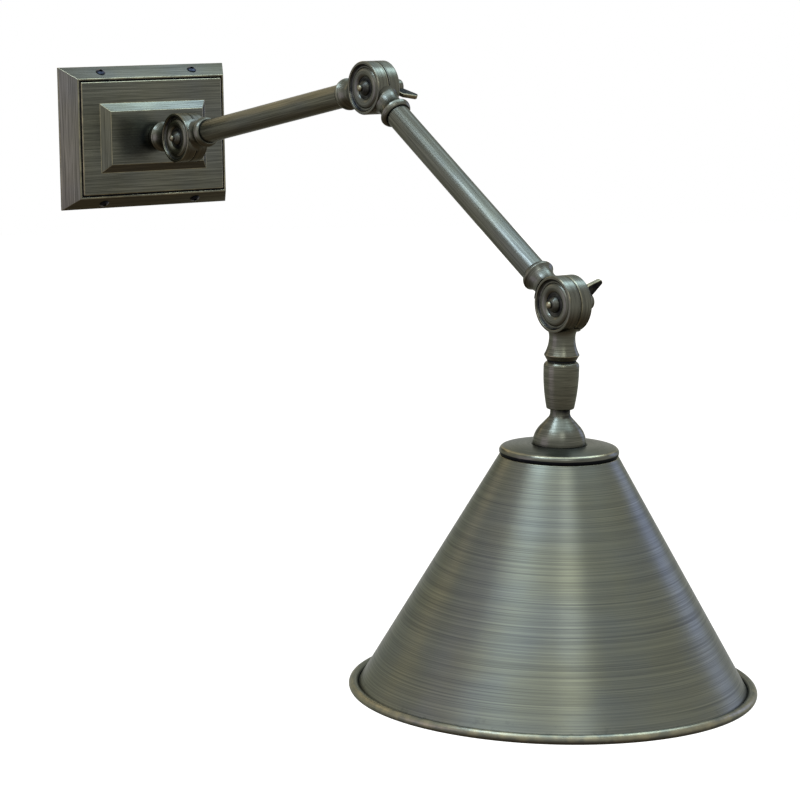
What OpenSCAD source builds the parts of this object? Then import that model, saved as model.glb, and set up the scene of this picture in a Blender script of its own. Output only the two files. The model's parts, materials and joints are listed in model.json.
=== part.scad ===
// Articulating wall lamp: a wall plate, two arms on three disc knuckles and a wide cone shade.
// Millimetres, +Z up. The wall is the plane Y = 0, the lamp stands out of it towards -Y,
// and the origin is the middle of the wall bracket's back face.

/* [Pose] */
// Angle of the first arm above straight out of the wall
arm_1_angle = 9.47; // [-45:0.01:75]
// Angle of the second arm above straight out of the wall
arm_2_angle = -33.84; // [-70:0.01:60]
// Angle of the lamp head above straight out of the wall
head_angle = -93.39; // [-110:0.01:0]
// Angles of the three thumb levers, measured the same way
lever_angles = [10, -30, 72]; // [-180:1:180]

/* [Wall plate] */
// Width of the wall plate
plate_w = 139.7; // [120:0.1:180]
// Height of the wall plate
plate_h = 101.6; // [88:0.1:140]
// Height of the plate's flat rim above the wall
plate_t = 14.6; // [13:0.1:20]
// How far the sloped sides come in
slope_inset = 8.1; // [4:0.1:12]
// Height of the straight edge at the wall
lip_t = 1.2; // [0.6:0.1:2]
// Wall thickness of the sloped sides
plate_wall = 2; // [1.2:0.1:2.6]
// Thickness of the front behind the groove's rim
face_wall = 2.6; // [2:0.1:3.2]
// Width of the flat rim outside the groove
rim_w = 1.2; // [0.6:0.1:3]
// Width of the groove
groove_w = 1.2; // [0.6:0.1:3]
// Depth of the groove
groove_depth = 1.5; // [0.5:0.1:1.8]
// Height of the panel above the rim
panel_rise = 0.6; // [0.2:0.1:1.5]
// Bevel at the panel's edge
panel_bevel = 0.5; // [0.2:0.1:2]

/* [Boss] */
// Width of the raised boss at its foot
boss_w = 89; // [60:0.5:100]
// Height of the raised boss at its foot
boss_h = 49.4; // [40:0.1:60]
// How far the boss stands up from the panel
boss_rise = 5.8; // [3:0.1:9]
// How far the boss's bevelled sides come in
boss_bevel = 5.6; // [2:0.1:7]
// Wall thickness of the boss
boss_wall = 2.5; // [1.5:0.1:3]

/* [Wall bracket] */
// Width of the crossbar
bar_w = 116; // [104:0.5:118]
// Height of the crossbar
bar_h = 24; // [16:0.5:30]
// Thickness of the bracket's steel
bracket_t = 2; // [1.5:0.1:2.5]
// Width of the strips that carry the tabs
strip_w = 14; // [10:0.5:18]
// Height of the tabs above the wall
tab_top = 11; // [9.5:0.1:11.5]
// Gap between a tab and the inside of the plate
tab_gap = 0.3; // [0.1:0.05:0.5]
// Distance between the middles of the mounting slots
slot_spacing = 88.9; // [84:0.1:95]
// Length of each mounting slot
slot_len = 12; // [8:0.5:14]
// Width of each mounting slot
slot_w = 4.8; // [4:0.1:6]

/* [Screws] */
// Distance between the screws in one slope
screw_spacing = 77.4; // [60:0.1:90]
// Radius of a slope screw's head
screw_head_r = 3.4; // [2.5:0.1:4]
// Height of a slope screw's head
screw_head_h = 1.6; // [1:0.1:2.4]
// Radius of a slope screw's shank
screw_r = 1.9; // [1.4:0.1:2.2]
// Length of a slope screw below its head
screw_len = 7; // [5:0.1:9]
// Place of the ground screw left of the middle
ground_x = 22; // [16:0.5:30]
// Radius of the ground screw's head
ground_head_r = 3.6; // [3:0.1:5]
// Height of the ground screw's head
ground_head_h = 1.8; // [1.2:0.1:3]
// Radius of the ground screw's shank
ground_r = 2; // [1.5:0.1:2.5]

/* [Swivel] */
// Radius of the round spacer on the boss
bush_r = 8; // [7:0.1:12]
// Thickness of the round spacer
bush_t = 4.22; // [3:0.01:8]
// Radius of the bush where it passes through the boss
spigot_r = 6.2; // [5.8:0.1:6.8]
// Radius of the threaded nipples
nipple_r = 5; // [4.8:0.1:5.2]
// Bore radius of the threaded nipples
nipple_bore_r = 4.2; // [3.8:0.1:4.4]
// Length of the swivel nipple behind the boss
nipple_tail = 8.5; // [6.5:0.1:9.5]
// Width across the flats of the hex nuts
nut_af = 14; // [12:0.5:16]
// Thickness of the swivel nut
nut_t = 5; // [3:0.1:5.5]
// Radius of the swivel washer
washer_r = 9; // [8:0.1:14]
// Thickness of the swivel washer
washer_t = 0.8; // [0.5:0.1:1.5]

/* [Knuckle] */
// Radius of the knuckle discs
knuckle_r = 17.5; // [17.2:0.1:19]
// Thickness of one knuckle half, from the split plane
half_t = 8.75; // [8.2:0.05:9.5]
// Width of the split between two halves
split_gap = 0.6; // [0.4:0.1:1]
// Rounding of the disc's edge
edge_r = 0.9; // [0.3:0.1:1.5]
// Width of the rim around the face
rim_face_w = 1.9; // [1.5:0.1:2.1]
// Depth of the cove inside the rim
cove_depth = 1.85; // [1:0.05:2]
// Outer radius of the raised ring
ring_outer_r = 13.4; // [11.5:0.1:13.5]
// Inner radius of the raised ring
ring_inner_r = 7.6; // [7.2:0.1:8.5]
// Height of the raised ring's crown
ring_rise = 1.3; // [0.6:0.1:1.4]
// How far the ring's crest lies below the rim
ring_drop = 0.45; // [0.2:0.05:1]
// Depth of the sunk middle below the rim
pit_depth = 2.15; // [1.8:0.05:2.6]
// Thickness of the metal behind the sunk middle
pit_floor = 1.4; // [1:0.1:2]
// Thickness of the disc's outer wall
knuckle_wall = 4.7; // [4:0.1:5]
// Radius of the hub around the bolt
hub_r = 6.2; // [5:0.1:6.5]
// Width of the friction washer
friction_w = 3.4; // [2:0.1:3.6]

/* [Pivot bolt] */
// Radius of the bolt's shank
bolt_r = 3; // [2.5:0.1:3.2]
// Radius of the bolt's domed head
bolt_head_r = 5; // [4.4:0.1:6]
// Height of the straight edge of the head
bolt_head_edge = 0.8; // [0.4:0.1:1.2]
// Height of the head where the nub starts
bolt_head_h = 3.6; // [2:0.1:4.2]
// Radius of the small nub on the head
nub_r = 2.2; // [1.2:0.1:2.5]
// Height of the straight side of the nub
nub_edge = 1.4; // [0.4:0.1:2]
// Height of the nub's round end
nub_dome = 1.2; // [0.4:0.1:1.5]
// Length of bolt that shows beyond the lever nut
bolt_tail = 0.6; // [0.4:0.1:5]

/* [Lever] */
// Radius of the washer under the lever nut
lever_washer_r = 6.8; // [6:0.1:7]
// Thickness of the washer under the lever nut
lever_washer_t = 1.2; // [0.8:0.1:1.6]
// Radius of the lever nut at the washer
lever_nut_r = 5.6; // [4.8:0.1:6]
// Radius of the lever nut at its outer end
lever_nut_end_r = 4.9; // [4.4:0.1:5.5]
// Length of the lever nut
lever_nut_len = 13.4; // [12:0.1:15]
// Thickness of the lever's blade
blade_t = 3; // [2:0.1:4]
// How far the lever's rounded tip stands from the bolt's axis
blade_reach = 12; // [10:0.1:15]
// How far the lever's rounded tip stands out past the washer
blade_out = 17.3; // [16:0.1:22]
// Radius of the lever's rounded tip
blade_tip_r = 2.3; // [2:0.1:3.2]

/* [Necks] */
// Length of a neck, from the pivot to the end of its collar
neck_len = 31.6; // [30:0.1:36]
// Radius of a neck where it meets the disc
root_r = 11.2; // [10.5:0.1:12]
// Radius of a neck at its waist
waist_r = 8; // [7.6:0.1:8.4]
// Distance from the pivot to the waist
waist_z = 21; // [20.4:0.1:22]
// Radius of the collar
collar_r = 10.7; // [10.2:0.1:11.5]
// Radius of the collar's round edge
collar_round = 4.4; // [4:0.1:5]
// Distance from the end of the neck to the collar's widest place
collar_back = 3.5; // [2.5:0.1:3.6]
// Depth of the seat for a tube or nipple
seat_depth = 5; // [4:0.1:6]
// Radius of the lamp head's neck at its waist
bell_waist_r = 8.1; // [7.6:0.1:8.4]
// Distance from the pivot to that waist
bell_waist_z = 20.5; // [20.2:0.1:22]
// Radius of the lamp head's bell edge
bell_r = 11; // [10.5:0.1:13]
// Distance from the pivot to the bell edge
bell_z = 31.4; // [29:0.1:34]
// Radius at the end of the bell
bell_end_r = 9.2; // [8:0.1:10]
// Length of the bevel under the bell edge
bell_bevel = 3.2; // [2:0.1:4]
// Depth of the nipple's seat in the bell
bell_seat = 8; // [6.5:0.1:9]

/* [Arms] */
// Distance between the pivots of one arm
arm_len = 231.8; // [160:0.1:320]
// Outer radius of the arm tubes
tube_r = 8; // [7:0.1:8.5]
// Wall thickness of the arm tubes
tube_wall = 1; // [0.8:0.1:1.5]

/* [Lamp stem] */
// Radius of the groove above the barrel
stem_groove_r = 9; // [7:0.1:10]
// Height of that groove
stem_groove_h = 0.8; // [0.4:0.1:2]
// Radius of the barrel
barrel_r = 11; // [10:0.1:13]
// Radius of the barrel's rounded shoulder
shoulder_round = 3; // [1:0.1:4]
// Length of the barrel's straight part
barrel_straight = 2.6; // [1:0.1:6]
// Length of the barrel's taper
barrel_taper = 22.9; // [15:0.1:30]
// Radius of the barrel at its foot
barrel_foot_r = 8.7; // [8:0.1:9.5]
// Rounding of the barrel's foot
foot_round = 1; // [0.5:0.1:1.5]
// Radius of the short neck under the barrel
throat_r = 6.2; // [5.8:0.1:7]
// Length of that short neck
throat_len = 2.6; // [1.5:0.1:4]
// Radius of the dome
dome_r = 16.5; // [14:0.1:20]
// Height of the dome's curve
dome_h = 15.9; // [13:0.1:20]
// Wall thickness of the dome
dome_wall = 1.5; // [1:0.1:2]

/* [Shade] */
// Outer diameter over the rolled edge
shade_d = 254; // [220:0.5:280]
// Height of the shade, from its top to the middle of the rolled edge
shade_h = 146.2; // [140:0.1:180]
// Radius of the shade at its top
shade_top_r = 36.6; // [34:0.1:40]
// Sheet thickness of the shade
shade_wall = 1; // [0.8:0.1:1.5]
// Radius of the rolled edge
bead_r = 3; // [2:0.1:4]
// Radius of the cap's corner rounding
cap_round = 3; // [2.6:0.1:3.5]
// Radius of the cap
cap_r = 37; // [36:0.1:42]
// Height of the cap's crown
cap_crown = 1.4; // [0.8:0.1:3]
// Height of the cap's edge below its widest place
cap_skirt = 2.4; // [1.5:0.1:2.5]
// Sheet thickness of the cap
cap_wall = 0.9; // [0.7:0.1:1.2]
// Radius of the spacer under the cap
spacer_r = 8; // [7:0.1:12]

/* [Lampholder] */
// Outer radius of the lampholder's brass cap
holder_cap_r = 17.5; // [16.5:0.1:20]
// Height of the brass cap
holder_cap_h = 12; // [10:0.1:14]
// Sheet thickness of the brass cap
holder_cap_wall = 0.8; // [0.6:0.1:1.2]
// Thickness of the nut on the lamp stem's nipple
stem_nut_t = 3.5; // [2.5:0.1:4.5]
// Outer radius of the lampholder's body
holder_r = 17; // [16.2:0.1:18]
// Length of the lampholder's body
holder_len = 43; // [38:0.1:50]
// Wall thickness of the body around the screw shell
holder_wall = 2.6; // [2:0.1:2.7]
// Depth of the socket in the body
socket_depth = 30; // [28:0.1:32]
// Thickness of the socket's floor
socket_floor = 4; // [3:0.1:6]
// Outer radius of the screw shell
shell_r = 14.1; // [14:0.05:14.3]
// Sheet thickness of the screw shell
shell_wall = 0.5; // [0.3:0.1:0.7]
// How far the screw shell ends inside the body
shell_recess = 2; // [1:0.1:3]

/* [Bulb] */
// Radius of the bulb's glass
bulb_r = 30; // [24:0.5:33]
// Radius of the bulb's screw base
bulb_base_r = 13.1; // [12.8:0.05:13.3]
// Length of the bulb's screw base
bulb_base_len = 27.5; // [25:0.1:29]
// Overall length of the bulb
bulb_len = 110.5; // [102:0.5:114]
// Wall thickness of the bulb's glass
glass_wall = 1; // [0.6:0.1:1.5]

/* [Wires] */
// Radius of the lamp wire
wire_r = 1.6; // [1.2:0.1:1.7]
// Radius of the wire holes in the necks
wire_hole_r = 2.4; // [2.4:0.1:2.6]

/* [Hidden] */
$fn = 96;

// How far every cut runs past the surface that it opens
cut = 1;
// Points along one arc
arc_steps = 10;
// Radial gap between two fixed pieces that fit together
seat_clear = 0.03;
// Radial gap between a turning piece and what it turns in
run_clear = 0.06;
// Gap between two faces that turn past each other
turn_gap = 0.1;
// Gap between two fixed faces that lie on each other but aren't flat
seat_gap = 0.05;
// Radial gap of a hole that a screw passes through freely
pass_clear = 0.3;

// Wall plate
slope_run = slope_inset / (plate_t - lip_t);
slope_stretch = sqrt(1 + slope_run * slope_run);
slope_tilt = atan2(plate_t - lip_t, slope_inset);
side_wall = plate_wall * slope_stretch;
cavity_top = plate_t - face_wall;
panel_t = plate_t + panel_rise;
boss_t = panel_t + boss_rise;
boss_under_t = boss_t - boss_wall;
boss_slope = boss_bevel / boss_rise;
rim_inset = slope_inset + rim_w;
panel_inset = rim_inset + groove_w;
screw_out = lip_t + (plate_t - lip_t) / 2;
screw_up = (plate_h - slope_inset) / 2;

// Swivel and pivots
nipple_hole_r = nipple_r + seat_clear;
nut_r = nut_af / 2 / cos(30);
pivot_out = boss_t + bush_t + turn_gap + neck_len;
pivot_1 = [0, -pivot_out, 0];
pivot_2 = pivot_1 + arm_vector(arm_len, arm_1_angle);
pivot_3 = pivot_2 + arm_vector(arm_len, arm_2_angle);

// Knuckle, with u measured out from the split plane
face_u = split_gap / 2;
rim_inner_r = knuckle_r - rim_face_w;
cove_u = half_t - cove_depth;
ring_mid_r = (ring_outer_r + ring_inner_r) / 2;
ring_half_w = (ring_outer_r - ring_inner_r) / 2;
ring_arc_r = (ring_half_w * ring_half_w + ring_rise * ring_rise) / (2 * ring_rise);
ring_crest_u = half_t - ring_drop;
ring_start_angle = acos(ring_half_w / ring_arc_r);
pit_u = half_t - pit_depth;
hollow_u = pit_u - pit_floor;
hollow_r = knuckle_r - knuckle_wall;
friction_mid_r = hollow_r + knuckle_wall / 2 - turn_gap;
bolt_hole_r = bolt_r + seat_clear;
bolt_turn_r = bolt_r + run_clear;
lever_washer_top = pit_u + lever_washer_t;
lever_nut_u = lever_washer_top + turn_gap;
lever_nut_top = lever_nut_u + lever_nut_len;
bolt_end_u = lever_nut_top + bolt_tail;
// Where the blade's edges leave the nut, as shares of the nut's length and radius
blade_root_share = 0.3;
blade_top_share = 0.98;
blade_foot_share = 0.76;
blade_elbow_share = 0.93;
blade_tip_from = 100;
blade_tip_to = -4;

// Necks
neck_side_gap = 0.25;
cope_gap = 0.4;
root_z = sqrt(knuckle_r * knuckle_r - root_r * root_r);
root_sink = 2;
collar_z = neck_len - collar_back;
collar_mid_r = collar_r - collar_round;
tube_z = neck_len - seat_depth;
tube_hole_r = tube_r + seat_clear;
bell_len = bell_z + bell_bevel;
stem_nipple_z = bell_len - bell_seat;
wire_x = 3.2;
wire_start_z = hollow_r - 2 * wire_r;
wire_hole_z = (hub_r + hollow_r) / 2;

// Lamp stem, measured from the last pivot
groove_z = bell_len + stem_groove_h;
shoulder_z = groove_z + shoulder_round;
taper_z = shoulder_z + barrel_straight;
foot_z = taper_z + barrel_taper;
barrel_end_z = foot_z + foot_round;
throat_z = barrel_end_z + throat_len;
// The angle on the dome's curve where its straight shoulder meets it, and the shoulder's own slope
dome_start_angle = 42;
dome_slope = atan2(dome_r * sin(dome_start_angle), dome_h * cos(dome_start_angle));
throat_fillet = 4.2;
dome_foot = 0.7;
fillet_end_r = throat_r + throat_fillet * (1 - cos(dome_slope));
fillet_end_z = throat_z + throat_fillet * sin(dome_slope);
dome_top_z = fillet_end_z + (dome_r * cos(dome_start_angle) - fillet_end_r) / tan(dome_slope);
dome_mid_z = dome_top_z + dome_h * sin(dome_start_angle);
dome_end_z = dome_mid_z + dome_foot;
dome_hollow_z = dome_mid_z - (dome_h - dome_wall) * sin(dome_start_angle);

// Shade and cap
cap_z = dome_end_z;
cap_land_r = dome_r + dome_wall;
cap_edge_r = cap_r - cap_round;
cap_edge_z = cap_z + cap_crown + cap_round;
cap_end_z = cap_edge_z + cap_skirt;
cap_foot_angle = asin(cap_skirt / cap_round);
cap_crown_w = cap_edge_r - cap_land_r;
cap_crown_r = (cap_crown_w * cap_crown_w + cap_crown * cap_crown) / (2 * cap_crown);
shade_z = cap_end_z + seat_gap;
bead_lap = bead_r - 0.26 * shade_wall;
bead_mid_r = shade_d / 2 - bead_r;
bead_mid_z = shade_z + shade_h;
shade_angle = atan2(bead_mid_r - bead_lap - shade_top_r, shade_h);
// Length of the cone's side, down to the place beside the middle of the rolled edge
shade_side = shade_h / cos(shade_angle) + bead_lap * sin(shade_angle);

// Lampholder and bulb
holder_z = shade_z + shade_wall;
holder_cap_round = holder_cap_h / 3;
holder_cap_end_z = holder_z + holder_cap_h;
holder_end_z = holder_cap_end_z + holder_len;
socket_z = holder_end_z - socket_depth;
socket_r = holder_r - holder_wall;
shell_end_z = holder_end_z - shell_recess;
contact_r = 4;
contact_t = 1.4;
stem_nut_z = holder_z + holder_cap_wall;
stem_nipple_end_z = stem_nut_z + stem_nut_t + 1.2 * holder_cap_wall;
bulb_z = socket_z + contact_t + turn_gap;
bulb_shoulder_z = bulb_z + bulb_base_len / 8;
bulb_base_end_z = bulb_z + bulb_base_len;
bulb_mid_z = bulb_z + bulb_len - bulb_r;
bulb_base_wall = 0.5;
glass_neck_r = bulb_base_r - bulb_base_wall - seat_clear;
glass_start_z = bulb_base_end_z - bulb_base_len / 3;
glass_neck_end_z = bulb_base_end_z + bulb_base_len / 2.5;
glass_rise = bulb_mid_z - glass_neck_end_z;
// Radius of the arc that leaves the glass's neck along the axis and runs smoothly into its ball
glass_flare_r = (glass_neck_r * glass_neck_r + glass_rise * glass_rise - bulb_r * bulb_r)
    / (2 * (bulb_r - glass_neck_r));
glass_flare_angle = atan2(glass_rise, glass_neck_r + glass_flare_r);

// A vector of the given length, at an angle above straight out of the wall
function arm_vector(length, angle) = [0, -length * cos(angle), length * sin(angle)];

// Points on an arc, from one angle to another
function arc(x, y, r, from, to) =
    [for (i = [0:arc_steps]) let (a = from + (to - from) * i / arc_steps)
        [x + r * cos(a), y + r * sin(a)]];

// Points on an ellipse, from one angle to another
function oval(x, y, rx, ry, from, to) =
    [for (i = [0:arc_steps]) let (a = from + (to - from) * i / arc_steps)
        [x + rx * cos(a), y + ry * sin(a)]];

// The same points in reverse order
function reversed(points) = [for (i = [len(points) - 1:-1:0]) points[i]];

// An arc that leaves (r0, z0) along the axis and widens to (r1, z1)
function flare(r0, z0, r1, z1) =
    let (dr = r1 - r0, dz = z1 - z0, rad = (dz * dz + dr * dr) / (2 * dr))
    arc(r0 + rad, z0, rad, 180, 180 - asin(dz / rad));

// An arc that leaves (r0, z0) along the axis and narrows to (r1, z1)
function taper(r0, z0, r1, z1) =
    let (dr = r0 - r1, dz = z1 - z0, rad = (dz * dz + dr * dr) / (2 * dr))
    arc(r0 - rad, z0, rad, 0, asin(dz / rad));

// An arc with its middle on the axis, through (r0, z0) and (r1, z1)
function crown(r0, z0, r1, z1) =
    let (mid = (r1 * r1 + z1 * z1 - r0 * r0 - z0 * z0) / (2 * (z1 - z0)),
        rad = norm([r0, z0 - mid]))
    arc(0, mid, rad, atan2(z0 - mid, r0), atan2(z1 - mid, r1));

// The arm frame: Z runs from a pivot along the arm, X stays along the knuckle's axis
module along(pivot, angle) {
    translate(pivot) rotate([90 - angle, 0, 0]) children();
}

// The plate frame: X to the right, Y up, Z out of the wall
module on_wall() {
    rotate([90, 0, 0]) children();
}

// A solid with a rectangular foot and four sides that come in evenly
module frustum(w, h, t, inset) {
    intersection() {
        rotate([90, 0, 0]) linear_extrude(h, center = true)
            polygon([[-w / 2, 0], [w / 2, 0], [w / 2 - inset, t], [inset - w / 2, t]]);
        rotate([90, 0, 90]) linear_extrude(w, center = true)
            polygon([[-h / 2, 0], [h / 2, 0], [h / 2 - inset, t], [inset - h / 2, t]]);
    }
}

// What lies within the plate's outer faces by the given depth, up to the given height
module plate_inside(depth, top) {
    grow = 2 * (slope_run * lip_t - depth * slope_stretch);
    side = 2 * depth * slope_stretch;
    intersection() {
        frustum(plate_w + grow, plate_h + grow, top, slope_run * top);
        translate([0, 0, top / 2]) cube([plate_w - side, plate_h - side, top], center = true);
    }
}

// A flat frame cut, as deep as the groove
module groove_cut() {
    difference() {
        translate([0, 0, plate_t - groove_depth / 2 + cut / 2])
            cube([plate_w - 2 * rim_inset, plate_h - 2 * rim_inset, groove_depth + cut], center = true);
        translate([0, 0, plate_t - groove_depth / 2])
            cube([plate_w - 2 * panel_inset, plate_h - 2 * panel_inset, groove_depth + 4 * cut],
                center = true);
    }
}

// Places its children at the four slope screws, with Z along the slope's normal
module at_slope_screws() {
    for (side_x = [-1, 1], side_y = [-1, 1])
        translate([side_x * screw_spacing / 2, side_y * screw_up, screw_out])
            rotate([-side_y * slope_tilt, 0, 0]) children();
}

module wall_bracket() {
    depth = plate_wall + tab_gap;
    color("darkgray") on_wall() difference() {
        union() {
            translate([0, 0, bracket_t / 2]) cube([bar_w, bar_h, bracket_t], center = true);
            intersection() {
                for (side_x = [-1, 1])
                    translate([side_x * screw_spacing / 2, 0, tab_top / 2])
                        cube([strip_w, plate_h, tab_top], center = true);
                difference() {
                    plate_inside(depth, tab_top);
                    intersection() {
                        plate_inside(depth + bracket_t, tab_top + cut);
                        translate([0, 0, bracket_t + tab_top])
                            cube([plate_w, plate_h, 2 * tab_top], center = true);
                    }
                }
            }
        }
        for (side_x = [-1, 1]) mounting_slot(side_x * slot_spacing / 2);
        at_slope_screws() cylinder(r = screw_r + seat_clear, h = 2 * screw_len, center = true);
        translate([-ground_x, 0, -cut]) cylinder(r = ground_r + seat_clear, h = bracket_t + 2 * cut);
    }
}

// One slot in the crossbar, long along X
module mounting_slot(x) {
    straight = slot_len - slot_w;
    for (side_x = [-1, 1])
        translate([x + side_x * straight / 2, 0, -cut]) cylinder(d = slot_w, h = bracket_t + 2 * cut);
    translate([x, 0, bracket_t / 2]) cube([straight, slot_w, bracket_t + 2 * cut], center = true);
}

module ground_screw() {
    color("seagreen") on_wall() translate([-ground_x, 0, 0]) rotate_extrude()
        polygon(concat([[0, 0], [ground_r, 0], [ground_r, bracket_t], [ground_head_r, bracket_t]],
            crown(ground_head_r, bracket_t + ground_head_h / 2, 0, bracket_t + ground_head_h)));
}

module backplate() {
    color("dimgray") on_wall() difference() {
        union() {
            difference() {
                plate_inside(0, plate_t);
                groove_cut();
            }
            translate([0, 0, plate_t - panel_bevel])
                frustum(plate_w - 2 * panel_inset, plate_h - 2 * panel_inset,
                    panel_rise + panel_bevel, panel_bevel);
            translate([0, 0, panel_t - panel_bevel])
                frustum(boss_w + 2 * panel_bevel * boss_slope, boss_h + 2 * panel_bevel * boss_slope,
                    boss_rise + panel_bevel, boss_bevel + panel_bevel * boss_slope);
        }
        plate_inside(plate_wall, cavity_top);
        translate([0, 0, (lip_t - cut) / 2])
            cube([plate_w - 2 * side_wall, plate_h - 2 * side_wall, lip_t + cut], center = true);
        boss_hollow();
        cylinder(r = spigot_r + seat_clear, h = boss_t + cut);
        at_slope_screws() cylinder(r = screw_r + pass_clear, h = 2 * screw_len, center = true);
    }
}

// The hollow behind the boss, with the boss's slope
module boss_hollow() {
    inset = boss_wall * sqrt(1 + boss_slope * boss_slope);
    h = boss_under_t - cavity_top;
    top_w = boss_w - 2 * boss_bevel - 2 * (inset - boss_wall * boss_slope);
    top_h = boss_h - 2 * boss_bevel - 2 * (inset - boss_wall * boss_slope);
    translate([0, 0, cavity_top - cut])
        frustum(top_w + 2 * (h + cut) * boss_slope, top_h + 2 * (h + cut) * boss_slope,
            h + cut, (h + cut) * boss_slope);
}

module plate_screws() {
    color("black") on_wall() at_slope_screws() rotate_extrude()
        polygon(concat([[0, -screw_len], [screw_r, -screw_len], [screw_r, 0], [screw_head_r, 0]],
            crown(screw_head_r, screw_head_h / 3, 0, screw_head_h)));
}

module swivel_bush() {
    color("black") on_wall() difference() {
        union() {
            translate([0, 0, boss_t]) cylinder(r = bush_r, h = bush_t);
            translate([0, 0, boss_under_t]) cylinder(r = spigot_r, h = boss_wall);
        }
        cylinder(r = nipple_r + run_clear, h = boss_t + bush_t + cut);
    }
}

// A threaded nipple, shown plain, between two heights
module nipple(from, to) {
    difference() {
        translate([0, 0, from]) cylinder(r = nipple_r, h = to - from);
        translate([0, 0, from - cut]) cylinder(r = nipple_bore_r, h = to - from + 2 * cut);
    }
}

module hex_nut(from, thickness) {
    difference() {
        translate([0, 0, from]) cylinder(r = nut_r, h = thickness, $fn = 6);
        translate([0, 0, from - cut]) cylinder(r = nipple_hole_r, h = thickness + 2 * cut);
    }
}

module base_nipple() {
    color("goldenrod") on_wall() nipple(boss_under_t - nipple_tail, pivot_out - tube_z);
}

module swivel_washer() {
    color("silver") on_wall() difference() {
        translate([0, 0, boss_under_t - turn_gap - washer_t]) cylinder(r = washer_r, h = washer_t);
        cylinder(r = nipple_hole_r, h = boss_t);
    }
}

module swivel_nut() {
    color("goldenrod") on_wall() hex_nut(boss_under_t - turn_gap - washer_t - nut_t, nut_t);
}

// Outline of a knuckle half as (radius, distance from the split plane)
function half_outline(hole_r) = concat(
    [[hole_r, face_u], [hub_r, face_u], [hub_r, hollow_u], [hollow_r, hollow_u], [hollow_r, face_u],
        [knuckle_r, face_u]],
    arc(knuckle_r - edge_r, half_t - edge_r, edge_r, 0, 90),
    arc(rim_inner_r - cove_depth, half_t, cove_depth, 0, -90),
    [[ring_outer_r, cove_u]],
    arc(ring_mid_r, ring_crest_u - ring_arc_r, ring_arc_r, ring_start_angle, 180 - ring_start_angle),
    [[ring_inner_r, pit_u], [hole_r, pit_u]]);

// Outline of a neck with a collar, as (radius, distance from the pivot)
function collar_outline() = concat(
    [[0, root_z - root_sink], [root_r, root_z - root_sink]],
    reversed(flare(waist_r, waist_z, root_r, root_z)),
    flare(waist_r, waist_z, collar_r, collar_z),
    arc(collar_mid_r, collar_z, collar_round, 0, asin(collar_back / collar_round)),
    [[0, neck_len]]);

// Outline of the lamp head's neck with its bell
function bell_outline() = concat(
    [[0, root_z - root_sink], [root_r, root_z - root_sink]],
    reversed(flare(bell_waist_r, bell_waist_z, root_r, root_z)),
    flare(bell_waist_r, bell_waist_z, bell_r, bell_z),
    [[bell_end_r, bell_len], [0, bell_len]]);

// A disc half with its neck. The half lies on the given side of the split plane.
module knuckle(side, bolt_hole, outline, seat_r, seat_z) {
    difference() {
        union() {
            rotate([0, side * 90, 0]) rotate_extrude() polygon(half_outline(bolt_hole));
            difference() {
                intersection() {
                    rotate_extrude() polygon(outline);
                    neck_room();
                }
                rotate([0, 90, 0])
                    cylinder(r = knuckle_r - rim_face_w / 2, h = 4 * half_t, center = true);
                rotate([0, -side * 90, 0]) translate([0, 0, -face_u])
                    cylinder(r = knuckle_r + cope_gap, h = 2 * half_t);
            }
        }
        translate([0, 0, seat_z]) cylinder(r = seat_r, h = neck_len);
        translate([side * wire_x, 0, wire_hole_z])
            cylinder(r = wire_hole_r, h = seat_z - wire_hole_z + cut);
    }
}

// A neck is no thicker than the discs until it has passed them
module neck_room() {
    wide = 4 * root_r;
    translate([0, 0, waist_z / 2]) cube([2 * (half_t - neck_side_gap), wide, waist_z], center = true);
    translate([0, 0, waist_z - cut + neck_len]) cube([wide, wide, 2 * neck_len], center = true);
}

// The bolt comes in from the -X side, with its domed head in the sunk middle of the front half
module pivot_bolt() {
    nub_u = pit_u + bolt_head_h;
    nub_top_u = nub_u + nub_edge;
    end_round = bolt_r / 4;
    rotate([0, -90, 0]) rotate_extrude()
        polygon(concat([[0, -bolt_end_u]],
            arc(bolt_r - end_round, end_round - bolt_end_u, end_round, -90, 0),
            [[bolt_r, pit_u], [bolt_head_r, pit_u]],
            crown(bolt_head_r, pit_u + bolt_head_edge, nub_r, nub_u),
            crown(nub_r, nub_top_u, 0, nub_top_u + nub_dome)));
}

module friction_washer() {
    rotate([0, 90, 0]) translate([0, 0, -face_u]) difference() {
        cylinder(r = friction_mid_r + friction_w / 2, h = split_gap - turn_gap / 2);
        translate([0, 0, -cut]) cylinder(r = friction_mid_r - friction_w / 2, h = split_gap + 2 * cut);
    }
}

module lever_washer() {
    rotate([0, 90, 0]) translate([0, 0, pit_u]) difference() {
        cylinder(r = lever_washer_r, h = lever_washer_t);
        translate([0, 0, -cut]) cylinder(r = bolt_turn_r, h = lever_washer_t + 2 * cut);
    }
}

// A round nut with one thumb blade, which points along Z and leans out along X
module lever_nut() {
    tip_u = lever_washer_top + blade_out;
    root_u = lever_nut_u + blade_root_share * lever_nut_len;
    top_u = lever_nut_u + blade_top_share * lever_nut_len;
    foot = blade_foot_share * lever_nut_r;
    difference() {
        union() {
            rotate([0, 90, 0]) translate([0, 0, lever_nut_u])
                cylinder(r1 = lever_nut_r, r2 = lever_nut_end_r, h = lever_nut_len);
            rotate([90, 0, 0]) linear_extrude(blade_t, center = true)
                polygon(concat([[root_u, foot], [(lever_nut_u + tip_u) / 2, blade_elbow_share * blade_reach]],
                    arc(tip_u, blade_reach, blade_tip_r, blade_tip_from, blade_tip_to),
                    [[top_u, foot]]));
        }
        rotate([0, 90, 0]) cylinder(r = bolt_turn_r, h = 2 * tip_u);
    }
}

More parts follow.
